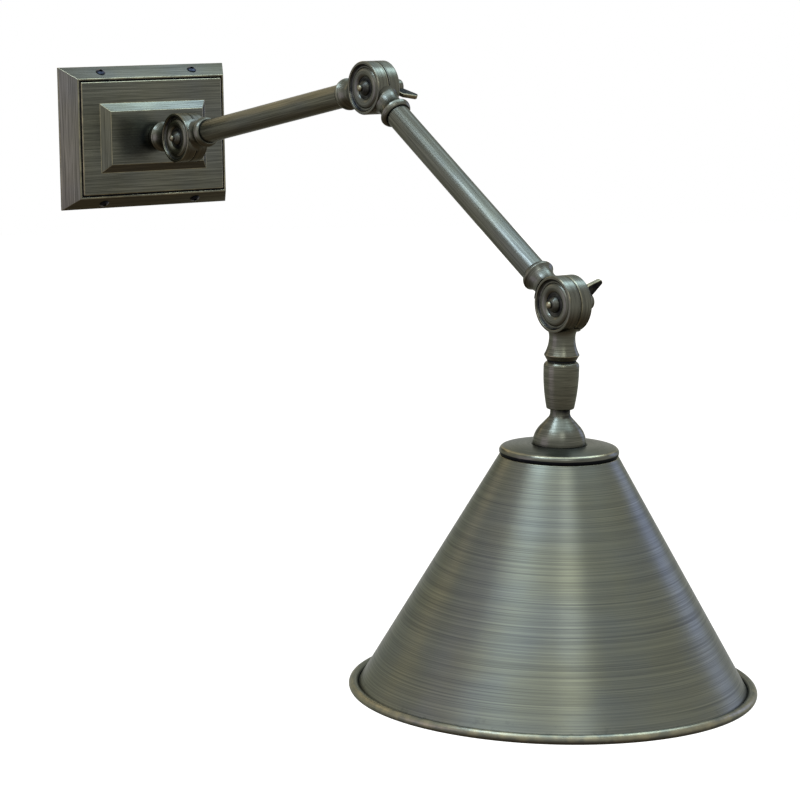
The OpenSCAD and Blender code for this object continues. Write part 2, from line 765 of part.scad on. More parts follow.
// Runs a wire of twelve flat sides through points that lie in the plane of the arm's X and Z
module wire(points) {
    last = len(points) - 2;
    for (i = [0:last]) {
        step = points[i + 1] - points[i];
        lap = i < last ? wire_r / 4 : 0;
        translate(points[i]) rotate([0, atan2(step[0], step[2]), 0])
            cylinder(r = wire_r, h = norm(step) + lap, $fn = 12);
    }
}

module base_knuckle() {
    color("dimgray") along(pivot_1, 180)
        knuckle(-1, bolt_hole_r, collar_outline(), nipple_hole_r, tube_z);
}

module pivot_bolt_1() {
    color("black") along(pivot_1, 180) pivot_bolt();
}

module friction_washer_1() {
    color("black") along(pivot_1, 180) friction_washer();
}

module base_wire() {
    color("tan") along(pivot_1, 180)
        wire([[-wire_x, 0, wire_start_z], [-wire_x, 0, waist_z],
            [0, 0, pivot_out - cavity_top + nipple_tail / 2]]);
}

module lever_nut_1() {
    color("gray") along(pivot_1, lever_angles[0]) lever_nut();
}

module lever_washer_1() {
    color("gray") along(pivot_1, arm_1_angle) lever_washer();
}

module arm_1_inner_knuckle() {
    color("dimgray") along(pivot_1, arm_1_angle)
        knuckle(1, bolt_turn_r, collar_outline(), tube_hole_r, tube_z);
}

// An arm's tube, seated in the necks at both ends
module arm_tube() {
    difference() {
        translate([0, 0, tube_z]) cylinder(r = tube_r, h = arm_len - 2 * tube_z);
        cylinder(r = tube_r - tube_wall, h = arm_len);
    }
}

module arm_1_tube() {
    color("dimgray") along(pivot_1, arm_1_angle) arm_tube();
}

module arm_1_outer_knuckle() {
    color("dimgray") along(pivot_2, arm_1_angle + 180)
        knuckle(-1, bolt_hole_r, collar_outline(), tube_hole_r, tube_z);
}

module pivot_bolt_2() {
    color("black") along(pivot_2, arm_1_angle) pivot_bolt();
}

module friction_washer_2() {
    color("black") along(pivot_2, arm_1_angle) friction_washer();
}

// The wire changes sides inside the first arm, because its two knuckle halves do
module arm_1_wire() {
    color("tan") along(pivot_1, arm_1_angle)
        wire([[wire_x, 0, wire_start_z], [wire_x, 0, neck_len], [-wire_x, 0, arm_len - neck_len],
            [-wire_x, 0, arm_len - wire_start_z]]);
}

module lever_nut_2() {
    color("gray") along(pivot_2, lever_angles[1]) lever_nut();
}

module lever_washer_2() {
    color("gray") along(pivot_2, arm_2_angle) lever_washer();
}

module arm_2_inner_knuckle() {
    color("dimgray") along(pivot_2, arm_2_angle)
        knuckle(1, bolt_turn_r, collar_outline(), tube_hole_r, tube_z);
}

module arm_2_tube() {
    color("dimgray") along(pivot_2, arm_2_angle) arm_tube();
}

module arm_2_outer_knuckle() {
    color("dimgray") along(pivot_3, arm_2_angle + 180)
        knuckle(1, bolt_turn_r, collar_outline(), tube_hole_r, tube_z);
}

module lever_washer_3() {
    color("gray") along(pivot_3, arm_2_angle) lever_washer();
}

module arm_2_wire() {
    color("tan") along(pivot_2, arm_2_angle)
        wire([[wire_x, 0, wire_start_z], [wire_x, 0, arm_len - wire_start_z]]);
}

module lever_nut_3() {
    color("gray") along(pivot_3, lever_angles[2]) lever_nut();
}

module shade_knuckle() {
    color("dimgray") along(pivot_3, head_angle)
        knuckle(-1, bolt_hole_r, bell_outline(), nipple_hole_r, stem_nipple_z);
}

module pivot_bolt_3() {
    color("black") along(pivot_3, head_angle) pivot_bolt();
}

module friction_washer_3() {
    color("black") along(pivot_3, head_angle) friction_washer();
}

module stem_nipple() {
    color("goldenrod") along(pivot_3, head_angle) nipple(stem_nipple_z, stem_nipple_end_z);
}

module stem_barrel() {
    shoulder_mid_r = barrel_r - shoulder_round;
    color("dimgray") along(pivot_3, head_angle) rotate_extrude()
        polygon(concat([[nipple_hole_r, bell_len], [stem_groove_r, bell_len], [stem_groove_r, groove_z]],
            arc(shoulder_mid_r, shoulder_z, shoulder_round,
                -acos((stem_groove_r - shoulder_mid_r) / shoulder_round), 0),
            taper(barrel_r, taper_z, barrel_foot_r, foot_z),
            arc(barrel_foot_r - foot_round, foot_z, foot_round, 0, 90),
            [[nipple_hole_r, barrel_end_z]]));
}

module stem_dome() {
    inner_r = dome_r - dome_wall;
    inner_h = dome_h - dome_wall;
    color("dimgray") along(pivot_3, head_angle) rotate_extrude()
        polygon(concat([[nipple_hole_r, barrel_end_z], [throat_r, barrel_end_z]],
            arc(throat_r + throat_fillet, throat_z, throat_fillet, 180, 180 - dome_slope),
            oval(0, dome_mid_z, dome_r, dome_h, -dome_start_angle, 0),
            [[dome_r, dome_end_z], [inner_r, dome_end_z]],
            oval(0, dome_mid_z, inner_r, inner_h, 0, -dome_start_angle),
            [[nipple_hole_r, dome_hollow_z]]));
}

module stem_wire() {
    color("tan") along(pivot_3, head_angle)
        wire([[-wire_x, 0, wire_start_z], [-wire_x, 0, waist_z],
            [wire_r / 4, 0, taper_z + barrel_r], [0, 0, holder_cap_end_z]]);
}

module shade_cap() {
    mid_z = cap_z + cap_crown_r;
    spread = asin(cap_crown_w / cap_crown_r);
    color("dimgray") along(pivot_3, head_angle) rotate_extrude()
        polygon(concat([[nipple_hole_r, cap_z]],
            arc(cap_land_r, mid_z, cap_crown_r, -90, spread - 90),
            arc(cap_edge_r, cap_edge_z, cap_round, spread - 90, cap_foot_angle),
            arc(cap_edge_r, cap_edge_z, cap_round - cap_wall, cap_foot_angle, spread - 90),
            arc(cap_land_r, mid_z, cap_crown_r - cap_wall, spread - 90, -90),
            [[nipple_hole_r, cap_z + cap_wall]]));
}

module cap_spacer() {
    color("goldenrod") along(pivot_3, head_angle) difference() {
        translate([0, 0, cap_z + cap_wall]) cylinder(r = spacer_r, h = shade_z - cap_z - cap_wall);
        cylinder(r = nipple_hole_r, h = shade_z + cut);
    }
}

module shade() {
    wall_r = shade_wall / cos(shade_angle);
    end_r = shade_top_r + shade_side * sin(shade_angle);
    end_z = shade_z + shade_side * cos(shade_angle);
    color("dimgray") along(pivot_3, head_angle) union() {
        rotate_extrude() polygon([[nipple_hole_r, shade_z], [shade_top_r, shade_z], [end_r, end_z],
            [end_r - shade_wall * cos(shade_angle), end_z + shade_wall * sin(shade_angle)],
            [shade_top_r + shade_wall * tan(shade_angle) - wall_r, shade_z + shade_wall],
            [nipple_hole_r, shade_z + shade_wall]]);
        translate([0, 0, bead_mid_z]) rotate_extrude() translate([bead_mid_r, 0]) circle(r = bead_r);
    }
}

module lampholder_cap() {
    round_r = holder_cap_r - holder_cap_round;
    inner_round = holder_cap_round - holder_cap_wall;
    color("goldenrod") along(pivot_3, head_angle) rotate_extrude()
        polygon(concat([[nipple_hole_r, holder_z]],
            arc(round_r, holder_z + holder_cap_round, holder_cap_round, -90, 0),
            [[holder_cap_r, holder_cap_end_z], [holder_cap_r - holder_cap_wall, holder_cap_end_z]],
            arc(round_r, holder_z + holder_cap_round, inner_round, 0, -90),
            [[nipple_hole_r, holder_z + holder_cap_wall]]));
}

module stem_nut() {
    color("goldenrod") along(pivot_3, head_angle) hex_nut(stem_nut_z, stem_nut_t);
}

module lampholder_body() {
    floor_z = socket_z - socket_floor;
    color("saddlebrown") along(pivot_3, head_angle) difference() {
        translate([0, 0, holder_cap_end_z]) cylinder(r = holder_r, h = holder_len);
        translate([0, 0, socket_z]) cylinder(r = socket_r, h = socket_depth + cut);
        translate([0, 0, holder_cap_end_z - cut])
            cylinder(r = socket_r, h = floor_z - holder_cap_end_z + cut);
    }
}

module lampholder_contact() {
    color("goldenrod") along(pivot_3, head_angle)
        translate([0, 0, socket_z]) cylinder(r = contact_r, h = contact_t);
}

module lampholder_shell() {
    color("goldenrod") along(pivot_3, head_angle) difference() {
        translate([0, 0, socket_z]) cylinder(r = shell_r, h = shell_end_z - socket_z);
        translate([0, 0, socket_z - cut]) cylinder(r = shell_r - shell_wall, h = socket_depth + 2 * cut);
    }
}

module bulb_base() {
    inner_r = bulb_base_r - bulb_base_wall;
    color("silver") along(pivot_3, head_angle) rotate_extrude()
        polygon([[0, bulb_z], [contact_r, bulb_z], [bulb_base_r, bulb_shoulder_z],
            [bulb_base_r, bulb_base_end_z], [inner_r, bulb_base_end_z],
            [inner_r, bulb_shoulder_z + bulb_base_wall], [0, bulb_z + contact_t]]);
}

// The glass's outline, set in from its outside by the given depth
function glass_outline(depth) = concat(
    [[glass_neck_r - depth, glass_start_z]],
    arc(glass_neck_r + glass_flare_r, glass_neck_end_z, glass_flare_r + depth, 180, 180 - glass_flare_angle),
    arc(0, bulb_mid_z, bulb_r - depth, -glass_flare_angle, 90));

module bulb_glass() {
    color("whitesmoke") along(pivot_3, head_angle) rotate_extrude()
        polygon(concat(glass_outline(0), reversed(glass_outline(glass_wall))));
}

wall_bracket();
ground_screw();
backplate();
plate_screws();
swivel_bush();
base_nipple();
swivel_washer();
swivel_nut();
base_knuckle();
pivot_bolt_1();
friction_washer_1();
base_wire();
lever_nut_1();
lever_washer_1();
arm_1_inner_knuckle();
arm_1_tube();
arm_1_outer_knuckle();
pivot_bolt_2();
friction_washer_2();
arm_1_wire();
lever_nut_2();
lever_washer_2();
arm_2_inner_knuckle();
arm_2_tube();
arm_2_outer_knuckle();
lever_washer_3();
arm_2_wire();
lever_nut_3();
shade_knuckle();
pivot_bolt_3();
friction_washer_3();
stem_nipple();
stem_barrel();
stem_dome();
stem_wire();
shade_cap();
cap_spacer();
shade();
lampholder_cap();
stem_nut();
lampholder_body();
lampholder_contact();
lampholder_shell();
bulb_base();
bulb_glass();
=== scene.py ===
"""Dresses the articulating wall lamp: a brushed antique bronze plate, two arms and a wide cone shade."""
import json
from math import acos, asin, atan2, cos, hypot, pi, radians, sin, sqrt, tan
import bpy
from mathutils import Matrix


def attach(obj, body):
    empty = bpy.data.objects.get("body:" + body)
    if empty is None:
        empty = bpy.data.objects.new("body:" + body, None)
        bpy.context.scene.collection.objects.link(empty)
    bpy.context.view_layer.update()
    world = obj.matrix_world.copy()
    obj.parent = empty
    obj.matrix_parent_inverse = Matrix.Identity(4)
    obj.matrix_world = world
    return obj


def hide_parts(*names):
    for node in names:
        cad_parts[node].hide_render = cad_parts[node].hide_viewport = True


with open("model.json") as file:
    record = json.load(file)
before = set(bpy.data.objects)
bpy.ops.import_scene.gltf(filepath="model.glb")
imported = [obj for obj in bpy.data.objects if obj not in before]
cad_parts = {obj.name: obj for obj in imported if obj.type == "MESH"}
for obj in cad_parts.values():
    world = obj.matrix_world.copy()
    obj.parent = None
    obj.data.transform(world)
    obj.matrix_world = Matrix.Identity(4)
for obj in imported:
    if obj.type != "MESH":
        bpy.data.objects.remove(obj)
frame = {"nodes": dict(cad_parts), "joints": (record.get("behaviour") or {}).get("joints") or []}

from types import SimpleNamespace

import bmesh
import bpy
from bpy.props import FloatProperty, FloatVectorProperty, PointerProperty
from mathutils import Matrix, Vector

bl_info = {
    "name": "Articulating wall lamp",
    "version": (1, 0, 0),
    "blender": (4, 5, 0),
    "location": "3D View > Sidebar > Wall lamp",
    "description": "Detailed pieces and finishes for an articulating wall lamp",
    "category": "Add Mesh",
}

MM = 0.001
# Gap between two fixed pieces that fit together, and between two that turn, in millimetres
SEAT = 0.03
RUN = 0.06
TURN_GAP = 0.1
# Steps round a full turn: the shade, the knuckles and other fittings, tubes and bolts, and small pieces
WIDE_STEPS = 288
FITTING_STEPS = 128
MIDDLE_STEPS = 96
SMALL_STEPS = 64
# Steps round the hole in the plate's boss, and across one rounded corner of an outline
HOLE_STEPS = 48
CORNER_STEPS = 4
# Places closer than this are the same place, in millimetres
SAME = 1e-3
# Edges that turn by more than this are drawn sharp
SMOOTH_LIMIT = radians(32)
# Width of the rubbed or dark edge beside a knuckle's split, in millimetres
SPLIT_LINE = 0.7


# ---- properties ----

def size(name, text, value):
    """A length that is given in millimetres and kept in metres."""
    return FloatProperty(name=name, description=text, default=value * MM, min=0, unit="LENGTH", precision=5)


def swing(name, text, degrees):
    """An angle that is given in degrees and kept in radians."""
    return FloatProperty(name=name, description=text, default=radians(degrees), unit="ROTATION")


def brightness(name, text, value):
    return FloatProperty(name=name, description=text, default=value, min=0)


def linear(code):
    """An sRGB hex colour as linear red, green and blue."""
    parts = [int(code[i:i + 2], 16) / 255 for i in (1, 3, 5)]
    return tuple(p / 12.92 if p <= 0.04045 else ((p + 0.055) / 1.055) ** 2.4 for p in parts)


def colour(name, text, code):
    return FloatVectorProperty(name=name, description=text, subtype="COLOR", size=3, min=0, max=1,
                               default=linear(code))


class PlateSizes(bpy.types.PropertyGroup):
    width: size("Width", "Width of the wall plate", 139.7)
    height: size("Height", "Height of the wall plate", 101.6)
    rim_t: size("Rim height", "Height of the flat rim above the wall", 14.6)
    slope_inset: size("Slope inset", "How far the sloped sides come in", 8.1)
    lip_t: size("Lip", "Height of the straight edge at the wall", 1.2)
    wall: size("Side wall", "Wall thickness of the sloped sides", 2)
    face_wall: size("Front wall", "Thickness of the front behind the rim", 2.6)
    rim_w: size("Rim width", "Width of the flat rim outside the groove", 1.2)
    groove_w: size("Groove width", "Width of the groove", 1.2)
    groove_depth: size("Groove depth", "Depth of the groove", 1.5)
    panel_rise: size("Panel rise", "Height of the panel above the rim", 0.6)
    panel_bevel: size("Panel bevel", "Bevel at the panel's edge", 0.5)
    boss_w: size("Boss width", "Width of the raised boss at its foot", 89)
    boss_h: size("Boss height", "Height of the raised boss at its foot", 49.4)
    boss_rise: size("Boss rise", "How far the boss stands up", 5.8)
    boss_bevel: size("Boss bevel", "How far the boss's sides come in", 5.6)
    boss_wall: size("Boss wall", "Wall thickness of the boss", 2.5)
    hole_r: size("Hole radius", "Radius of the hole in the boss", 6.23)
    edge: size("Edge rounding", "Rounding of the plate's worn edges", 0.45)
    screw_spacing: size("Screw spacing", "Distance between the screws in one slope", 77.4)
    screw_r: size("Screw radius", "Radius of a slope screw's shank", 1.9)
    screw_head_r: size("Screw head radius", "Radius of a slope screw's head", 3.4)
    screw_head_h: size("Screw head height", "Height of a slope screw's head", 1.6)
    screw_len: size("Screw length", "Length of a slope screw below its head", 7)
    bush_r: size("Spacer radius", "Radius of the round spacer on the boss", 8)
    bush_t: size("Spacer thickness", "Thickness of the round spacer", 4.22)
    spigot_r: size("Spigot radius", "Radius of the spacer where it passes through the boss", 6.2)


class KnuckleSizes(bpy.types.PropertyGroup):
    disc_r: size("Disc radius", "Radius of the knuckle discs", 17.5)
    half_t: size("Half thickness", "Thickness of one half, from the split plane", 8.75)
    split: size("Split", "Width of the split between two halves", 0.6)
    edge_r: size("Edge rounding", "Rounding of the disc's edge", 0.9)
    rim_w: size("Rim width", "Width of the rim around the face", 1.9)
    cove: size("Cove depth", "Depth of the cove inside the rim", 1.85)
    ring_out: size("Ring outside", "Outer radius of the raised ring", 13.4)
    ring_in: size("Ring inside", "Inner radius of the raised ring", 7.6)
    ring_rise: size("Ring rise", "Height of the raised ring's crown", 1.3)
    ring_drop: size("Ring drop", "How far the crest lies below the rim", 0.45)
    pit: size("Pit depth", "Depth of the sunk middle below the rim", 2.15)
    floor: size("Pit floor", "Thickness of the metal behind the sunk middle", 1.4)
    outer_wall: size("Outer wall", "Thickness of the disc's outer wall", 4.7)
    hub_r: size("Hub radius", "Radius of the hub around the bolt", 6.2)
    bolt_r: size("Bolt radius", "Radius of the bolt's shank", 3)
    head_r: size("Bolt head radius", "Radius of the bolt's domed head", 5)
    head_edge: size("Bolt head edge", "Height of the straight edge of the head", 0.8)
    head_h: size("Bolt head height", "Height of the head where the nub starts", 3.6)
    nub_r: size("Nub radius", "Radius of the small nub on the head", 2.2)
    nub_edge: size("Nub edge", "Height of the straight side of the nub", 1.4)
    nub_dome: size("Nub dome", "Height of the nub's round end", 1.2)
    tail: size("Bolt tail", "Length of bolt beyond the lever nut", 0.6)


class LeverSizes(bpy.types.PropertyGroup):
    washer_r: size("Washer radius", "Radius of the washer under the nut", 6.8)
    washer_t: size("Washer thickness", "Thickness of that washer", 1.2)
    nut_r: size("Nut radius", "Radius of the nut at the washer", 5.6)
    nut_end_r: size("Nut end radius", "Radius of the nut at its outer end", 4.9)
    nut_len: size("Nut length", "Length of the nut", 13.4)
    blade_t: size("Blade thickness", "Thickness of the thumb blade", 3)
    reach: size("Blade reach", "Distance of the rounded tip from the axis", 12)
    out: size("Blade overhang", "How far the tip stands out past the washer", 17.3)
    tip_r: size("Tip radius", "Radius of the rounded tip", 2.3)
    bevel: size("Blade bevel", "Rounding of the blade's edges", 0.6)


class NeckSizes(bpy.types.PropertyGroup):
    length: size("Length", "Length of a neck from the pivot", 31.6)
    root_r: size("Root radius", "Radius where the neck meets the disc", 11.2)
    waist_r: size("Waist radius", "Radius at the waist", 8)
    waist_z: size("Waist place", "Distance from the pivot to the waist", 21)
    collar_r: size("Collar radius", "Radius of the ring collar", 10.7)
    collar_round: size("Collar rounding", "Radius of the collar's round edge", 4.4)
    collar_back: size("Collar setback", "Distance from the end to the collar's crest", 3.5)
    seat: size("Seat depth", "Depth of the seat for a tube", 5)
    side_gap: size("Side gap", "How much narrower the root is than the disc", 0.25)
    cope_gap: size("Cope gap", "Gap to the other half's disc", 0.4)
    tube_r: size("Tube radius", "Outer radius of the arm tubes", 8)
    tube_wall: size("Tube wall", "Wall thickness of the arm tubes", 1)
    nipple_r: size("Nipple radius", "Radius of the threaded nipples", 5)
    bell_waist_r: size("Bell waist", "Radius at the waist of the lamp head's neck", 8.1)
    bell_waist_z: size("Bell waist place", "Distance from the pivot to that waist", 20.5)
    bell_r: size("Bell radius", "Radius of the bell's edge", 11)
    bell_z: size("Bell place", "Distance from the pivot to the bell's edge", 31.4)
    bell_end_r: size("Bell end radius", "Radius at the end of the bell", 9.2)
    bell_bevel: size("Bell bevel", "Length of the bevel under the bell's edge", 3.2)
    bell_seat: size("Bell seat", "Depth of the nipple's seat in the bell", 8)


class HeadSizes(bpy.types.PropertyGroup):
    groove_r: size("Groove radius", "Radius of the groove above the barrel", 9)
    groove_h: size("Groove height", "Height of that groove", 0.8)
    barrel_r: size("Barrel radius", "Radius of the barrel", 11)
    shoulder: size("Shoulder", "Radius of the barrel's rounded shoulder", 3)
    straight: size("Barrel straight", "Length of the barrel's straight part", 2.6)
    taper: size("Barrel taper", "Length of the barrel's taper", 22.9)
    foot_r: size("Foot radius", "Radius at the barrel's foot", 8.7)
    foot_round: size("Foot rounding", "Rounding of the barrel's foot", 1)
    throat_r: size("Throat radius", "Radius of the short neck", 6.2)
    throat_len: size("Throat length", "Length of the short neck", 2.6)
    throat_fillet: size("Throat fillet", "Radius of the fillet between neck and dome", 4.2)
    dome_r: size("Dome radius", "Radius of the dome", 16.5)
    dome_h: size("Dome height", "Height of the dome's curve", 15.9)
    dome_foot: size("Dome foot", "Height of the dome's straight foot", 0.7)
    dome_wall: size("Dome wall", "Wall thickness of the dome", 1.5)
    cap_r: size("Cap radius", "Radius of the shade's cap", 37)
    cap_round: size("Cap rounding", "Radius of the cap's corner", 3)
    cap_crown: size("Cap crown", "Height of the cap's crown", 1.4)
    cap_skirt: size("Cap skirt", "Height of the cap's edge below its widest place", 2.4)
    cap_wall: size("Cap sheet", "Sheet thickness of the cap", 0.9)
    shade_d: size("Shade diameter", "Diameter over the rolled edge", 254)
    shade_h: size("Shade height", "Height from the top to the middle of the rolled edge", 146.2)
    shade_top_r: size("Shade top radius", "Radius of the shade's top", 36.6)
    shade_wall: size("Shade sheet", "Sheet thickness of the shade", 1)
    shade_gap: size("Shade seat", "Gap between the cap's edge and the shade", 0.05)
    shade_edge: size("Shade corner", "Rounding of the shade's top corner", 1.2)
    bead_r: size("Bead radius", "Radius of the rolled edge", 3)


class LightSizes(bpy.types.PropertyGroup):
    cap_r: size("Holder cap radius", "Outer radius of the lampholder's cap", 17.5)
    cap_h: size("Holder cap height", "Height of the lampholder's cap", 12)
    cap_wall: size("Holder cap sheet", "Sheet thickness of that cap", 0.8)
    body_r: size("Body radius", "Outer radius of the lampholder's body", 17)
    body_len: size("Body length", "Length of the lampholder's body", 43)
    body_wall: size("Body wall", "Wall thickness of the body", 2.6)
    socket: size("Socket depth", "Depth of the socket", 30)
    socket_floor: size("Socket floor", "Thickness of the socket's floor", 4)
    shell_r: size("Shell radius", "Outer radius of the screw shell", 14.1)
    shell_wall: size("Shell sheet", "Sheet thickness of the screw shell", 0.5)
    shell_recess: size("Shell recess", "How far the shell ends inside the body", 2)
    contact_t: size("Contact thickness", "Thickness of the centre contact", 1.4)
    contact_r: size("Contact radius", "Radius of the centre contact", 4)
    pitch: size("Thread pitch", "Pitch of the lamp's screw thread", 3.6)
    thread: size("Thread depth", "Depth of the rolled thread", 0.4)
    base_r: size("Bulb base radius", "Radius of the bulb's base", 13.1)
    base_len: size("Bulb base length", "Length of the bulb's base", 27.5)
    bulb_r: size("Bulb radius", "Radius of the bulb's glass", 30)
    bulb_len: size("Bulb length", "Overall length of the bulb", 110.5)
    glass: size("Glass", "Wall thickness of the bulb's glass", 1)


class LampFinish(bpy.types.PropertyGroup):
    bronze: colour("Bronze", "Antique bronze of the plate, arms and knuckles", "#636459")
    bronze_dark: colour("Dark streaks", "Darker streaks of that bronze", "#41423a")
    # The shade is the same antique bronze as the fittings; these two colours are a lighter copy of it,
    # which paints in the light the shade catches
    shade: colour("Shade", "Antique bronze of the spun shade", "#6a6d60")
    shade_dark: colour("Shade streaks", "Darker streaks on the shade", "#4d4f49")
    # This colour also draws the painted highlights, on the cap's shoulder, the shade's bead and the
    # knuckles' split
    wear_and_sheen: colour("Worn edges", "Brassy metal where edges are rubbed bright", "#878168")
    # This colour also draws the painted shade, under the cap's edge, round the dome's foot, in the throat,
    # in the knuckles' split and in the crease above the shade's bead
    patina_and_shade: colour("Patina", "Near-black left in grooves and coves", "#1a1b1e")


class LampSettings(bpy.types.PropertyGroup):
    plate: PointerProperty(type=PlateSizes)
    knuckle: PointerProperty(type=KnuckleSizes)
    lever: PointerProperty(type=LeverSizes)
    neck: PointerProperty(type=NeckSizes)
    head: PointerProperty(type=HeadSizes)
    light: PointerProperty(type=LightSizes)
    finish: PointerProperty(type=LampFinish)
    head_angle: swing("Head angle", "Angle of the lamp head above straight out", -93.39)
    lever_angle_1: swing("Lever 1", "Angle of the first thumb lever", 10)
    lever_angle_2: swing("Lever 2", "Angle of the second thumb lever", -30)
    lever_angle_3: swing("Lever 3", "Angle of the third thumb lever", 72)
    key_level: brightness("Key light", "Brightness of the broad soft light at the front left", 1.5)
    top_level: brightness("Top light", "Brightness of the broad soft light overhead", 4.4)
    accent_level: brightness("Accent light", "Brightness of the small lights within the broad ones", 5)
    rear_level: brightness("Rear light", "Brightness of the light high at the right", 2.4)
    side_level: brightness("Side lights", "Brightness of the soft lights at both sides and behind", 1.2)
    ambient: brightness("Ambient", "Level of the light from all round", 0.3)


def millimetres(group):
    """The sizes of a property group, in millimetres."""
    return SimpleNamespace(**{key: getattr(group, key) / MM for key in type(group).__annotations__})


# ---- where pieces go ----

def pivot(number):
    """The middle of one of the three knuckles, in metres."""
    for joint in frame["joints"]:
        if joint["name"] == f"knuckle_{number}":
            return Vector(joint["pos_m"])
    raise RuntimeError(f"the frame has no joint named knuckle_{number}")


def arm_angle(number):
    """The angle above straight out of the wall at which an arm leaves its inner knuckle."""
    way = pivot(number + 1) - pivot(number)
    return atan2(way.z, -way.y)


def along(place, angle):
    """Millimetres in an arm's frame, where Z runs along the arm, to metres in the lamp's frame."""
    return Matrix.Translation(place) @ Matrix.Rotation(pi / 2 - angle, 4, "X") @ Matrix.Scale(MM, 4)


def on_wall():
    """Millimetres in the plate's frame, where Z runs out of the wall, to metres in the lamp's frame."""
    return Matrix.Rotation(pi / 2, 4, "X") @ Matrix.Scale(MM, 4)


# ---- outlines of turned pieces, as (radius, height) with a rounding and a tone where given; the tone is wear or patina, and on some pieces painted light ----

def oval(x, y, rx, ry, start, end, steps=16):
    return [(x + rx * cos(a), y + ry * sin(a))
            for a in (start + (end - start) * i / steps for i in range(steps + 1))]


def arc(x, y, r, start, end, steps=12):
    return oval(x, y, r, r, start, end, steps)


def flare(r0, z0, r1, z1, steps=12):
    """An arc that leaves (r0, z0) along the axis and widens to (r1, z1)."""
    dr, dz = r1 - r0, z1 - z0
    rad = (dz * dz + dr * dr) / (2 * dr)
    return arc(r0 + rad, z0, rad, pi, pi - asin(dz / rad), steps)


def taper(r0, z0, r1, z1, steps=12):
    """An arc that leaves (r0, z0) along the axis and narrows to (r1, z1)."""
    dr, dz = r0 - r1, z1 - z0
    rad = (dz * dz + dr * dr) / (2 * dr)
    return arc(r0 - rad, z0, rad, 0, asin(dz / rad), steps)


def crown(r0, z0, r1, z1, steps=8):
    """An arc with its middle on the axis, through (r0, z0) and (r1, z1)."""
    mid = (r1 * r1 + z1 * z1 - r0 * r0 - z0 * z0) / (2 * (z1 - z0))
    rad = hypot(r0, z0 - mid)
    return arc(0, mid, rad, atan2(z0 - mid, r0), atan2(z1 - mid, r1), steps)


def wear_and_sheen(points, amount):
    """The same points with a tone that is strongest in the middle: above 0 rubbed bright, below 0 dark. On
    some pieces it draws a painted highlight instead of wear.
    """
    last = len(points) - 1
    return [(p[0], p[1], 0, amount * sin(pi * (i + 0.5) / (last + 1))) for i, p in enumerate(points)]


def even_wear_and_shade(points, amount):
    """The same points with one tone all along: wear or patina on most pieces, painted shade on some."""
    return [(p[0], p[1], 0, amount) for p in points]


def rounded(points, ring):
    """The outline with its corners rounded where they give a radius. Outward corners come out rubbed bright
    and inward ones dark, unless they give a tone of their own."""
    count = len(points)
    turning = sum(a[0] * b[1] - b[0] * a[1] for a, b in zip(points, points[1:] + points[:1]))
    result = []
    for i, point in enumerate(points):
        radius = point[2] if len(point) > 2 else 0
        wear_and_painted_light = point[3] if len(point) > 3 else None
        here = Vector(point[:2])
        if not radius or (not ring and i in (0, count - 1)):
            result.append((here.x, here.y, wear_and_painted_light or 0))
            continue
        back = Vector(points[i - 1][:2]) - here
        on = Vector(points[(i + 1) % count][:2]) - here
        half = back.angle(on) / 2
        reach = min(radius / tan(half), 0.45 * back.length, 0.45 * on.length)
        rad = reach * tan(half)
        back_way, on_way = back.normalized(), on.normalized()
        middle = here + (back_way + on_way).normalized() * (rad / sin(half))
        first, last = here + back_way * reach - middle, here + on_way * reach - middle
        sweep = first.angle(last)
        if wear_and_painted_light is None:
            outward = (-back.x * on.y + back.y * on.x) * turning > 0
            wear_and_painted_light = 1 if outward else -1
        for k in range(CORNER_STEPS + 1):
            t = k / CORNER_STEPS
            spot = middle + (first * sin((1 - t) * sweep) + last * sin(t * sweep)) / sin(sweep)
            result.append((spot.x, spot.y, wear_and_painted_light * sin(pi * t)))
    return result


# ---- meshes ----

def lay_grain(bm, straight=False):
    """Stores on every corner where it lies along and across the turning lines, and a map that follows
    them. Straight pieces have their lines along Z."""
    run = bm.verts.layers.float["run"]
    grain = bm.loops.layers.float_vector.new("grain")
    uv = bm.loops.layers.uv.new("UVMap")
    for face in bm.faces:
        turns = {}
        for loop in face.loops:
            x, y, _ = loop.vert.co
            if hypot(x, y) > SAME:
                turns[loop] = atan2(y, x)
        if turns and max(turns.values()) - min(turns.values()) > pi:
            turns = {loop: a + 2 * pi if a < 0 else a for loop, a in turns.items()}
        middle = sum(turns.values()) / len(turns) if turns else 0
        for loop in face.loops:
            co, s, a = loop.vert.co, loop.vert[run], turns.get(loop, middle) / (2 * pi)
            loop[grain] = co if straight else (s, co.x, co.y)
            loop[uv].uv = (co.z * MM, a) if straight else (a, s * MM)


def turned(points, steps=FITTING_STEPS, ring=False, straight=False, rise=0):
    """A solid turned about Z. A ring's outline closes on itself; with a rise it winds up like a thread."""
    outline = rounded(points, ring)
    bm = bmesh.new()
    wear_and_painted_light = bm.verts.layers.float.new("wear_and_painted_light")
    run = bm.verts.layers.float.new("run")
    verts, length = [], 0
    for i, (r, z, w) in enumerate(outline):
        if i:
            length += hypot(r - outline[i - 1][0], z - outline[i - 1][1])
        vert = bm.verts.new((r, 0, z))
        vert[wear_and_painted_light], vert[run] = w, length
        verts.append(vert)
    edges = [bm.edges.new(pair) for pair in zip(verts, verts[1:])]
    if ring:
        edges.append(bm.edges.new((verts[-1], verts[0])))
    bmesh.ops.spin(bm, geom=verts + edges, cent=(0, 0, 0), axis=(0, 0, 1), angle=2 * pi, steps=steps,
                   dvec=(0, 0, rise / steps), use_merge=not rise)
    if rise:
        bmesh.ops.remove_doubles(bm, verts=bm.verts[:], dist=SAME)
    poles = [v for v in bm.verts if hypot(v.co.x, v.co.y) < 1e-4]
    bmesh.ops.remove_doubles(bm, verts=poles, dist=SAME)
    bmesh.ops.recalc_face_normals(bm, faces=bm.faces[:])
    lay_grain(bm, straight)
    return bm


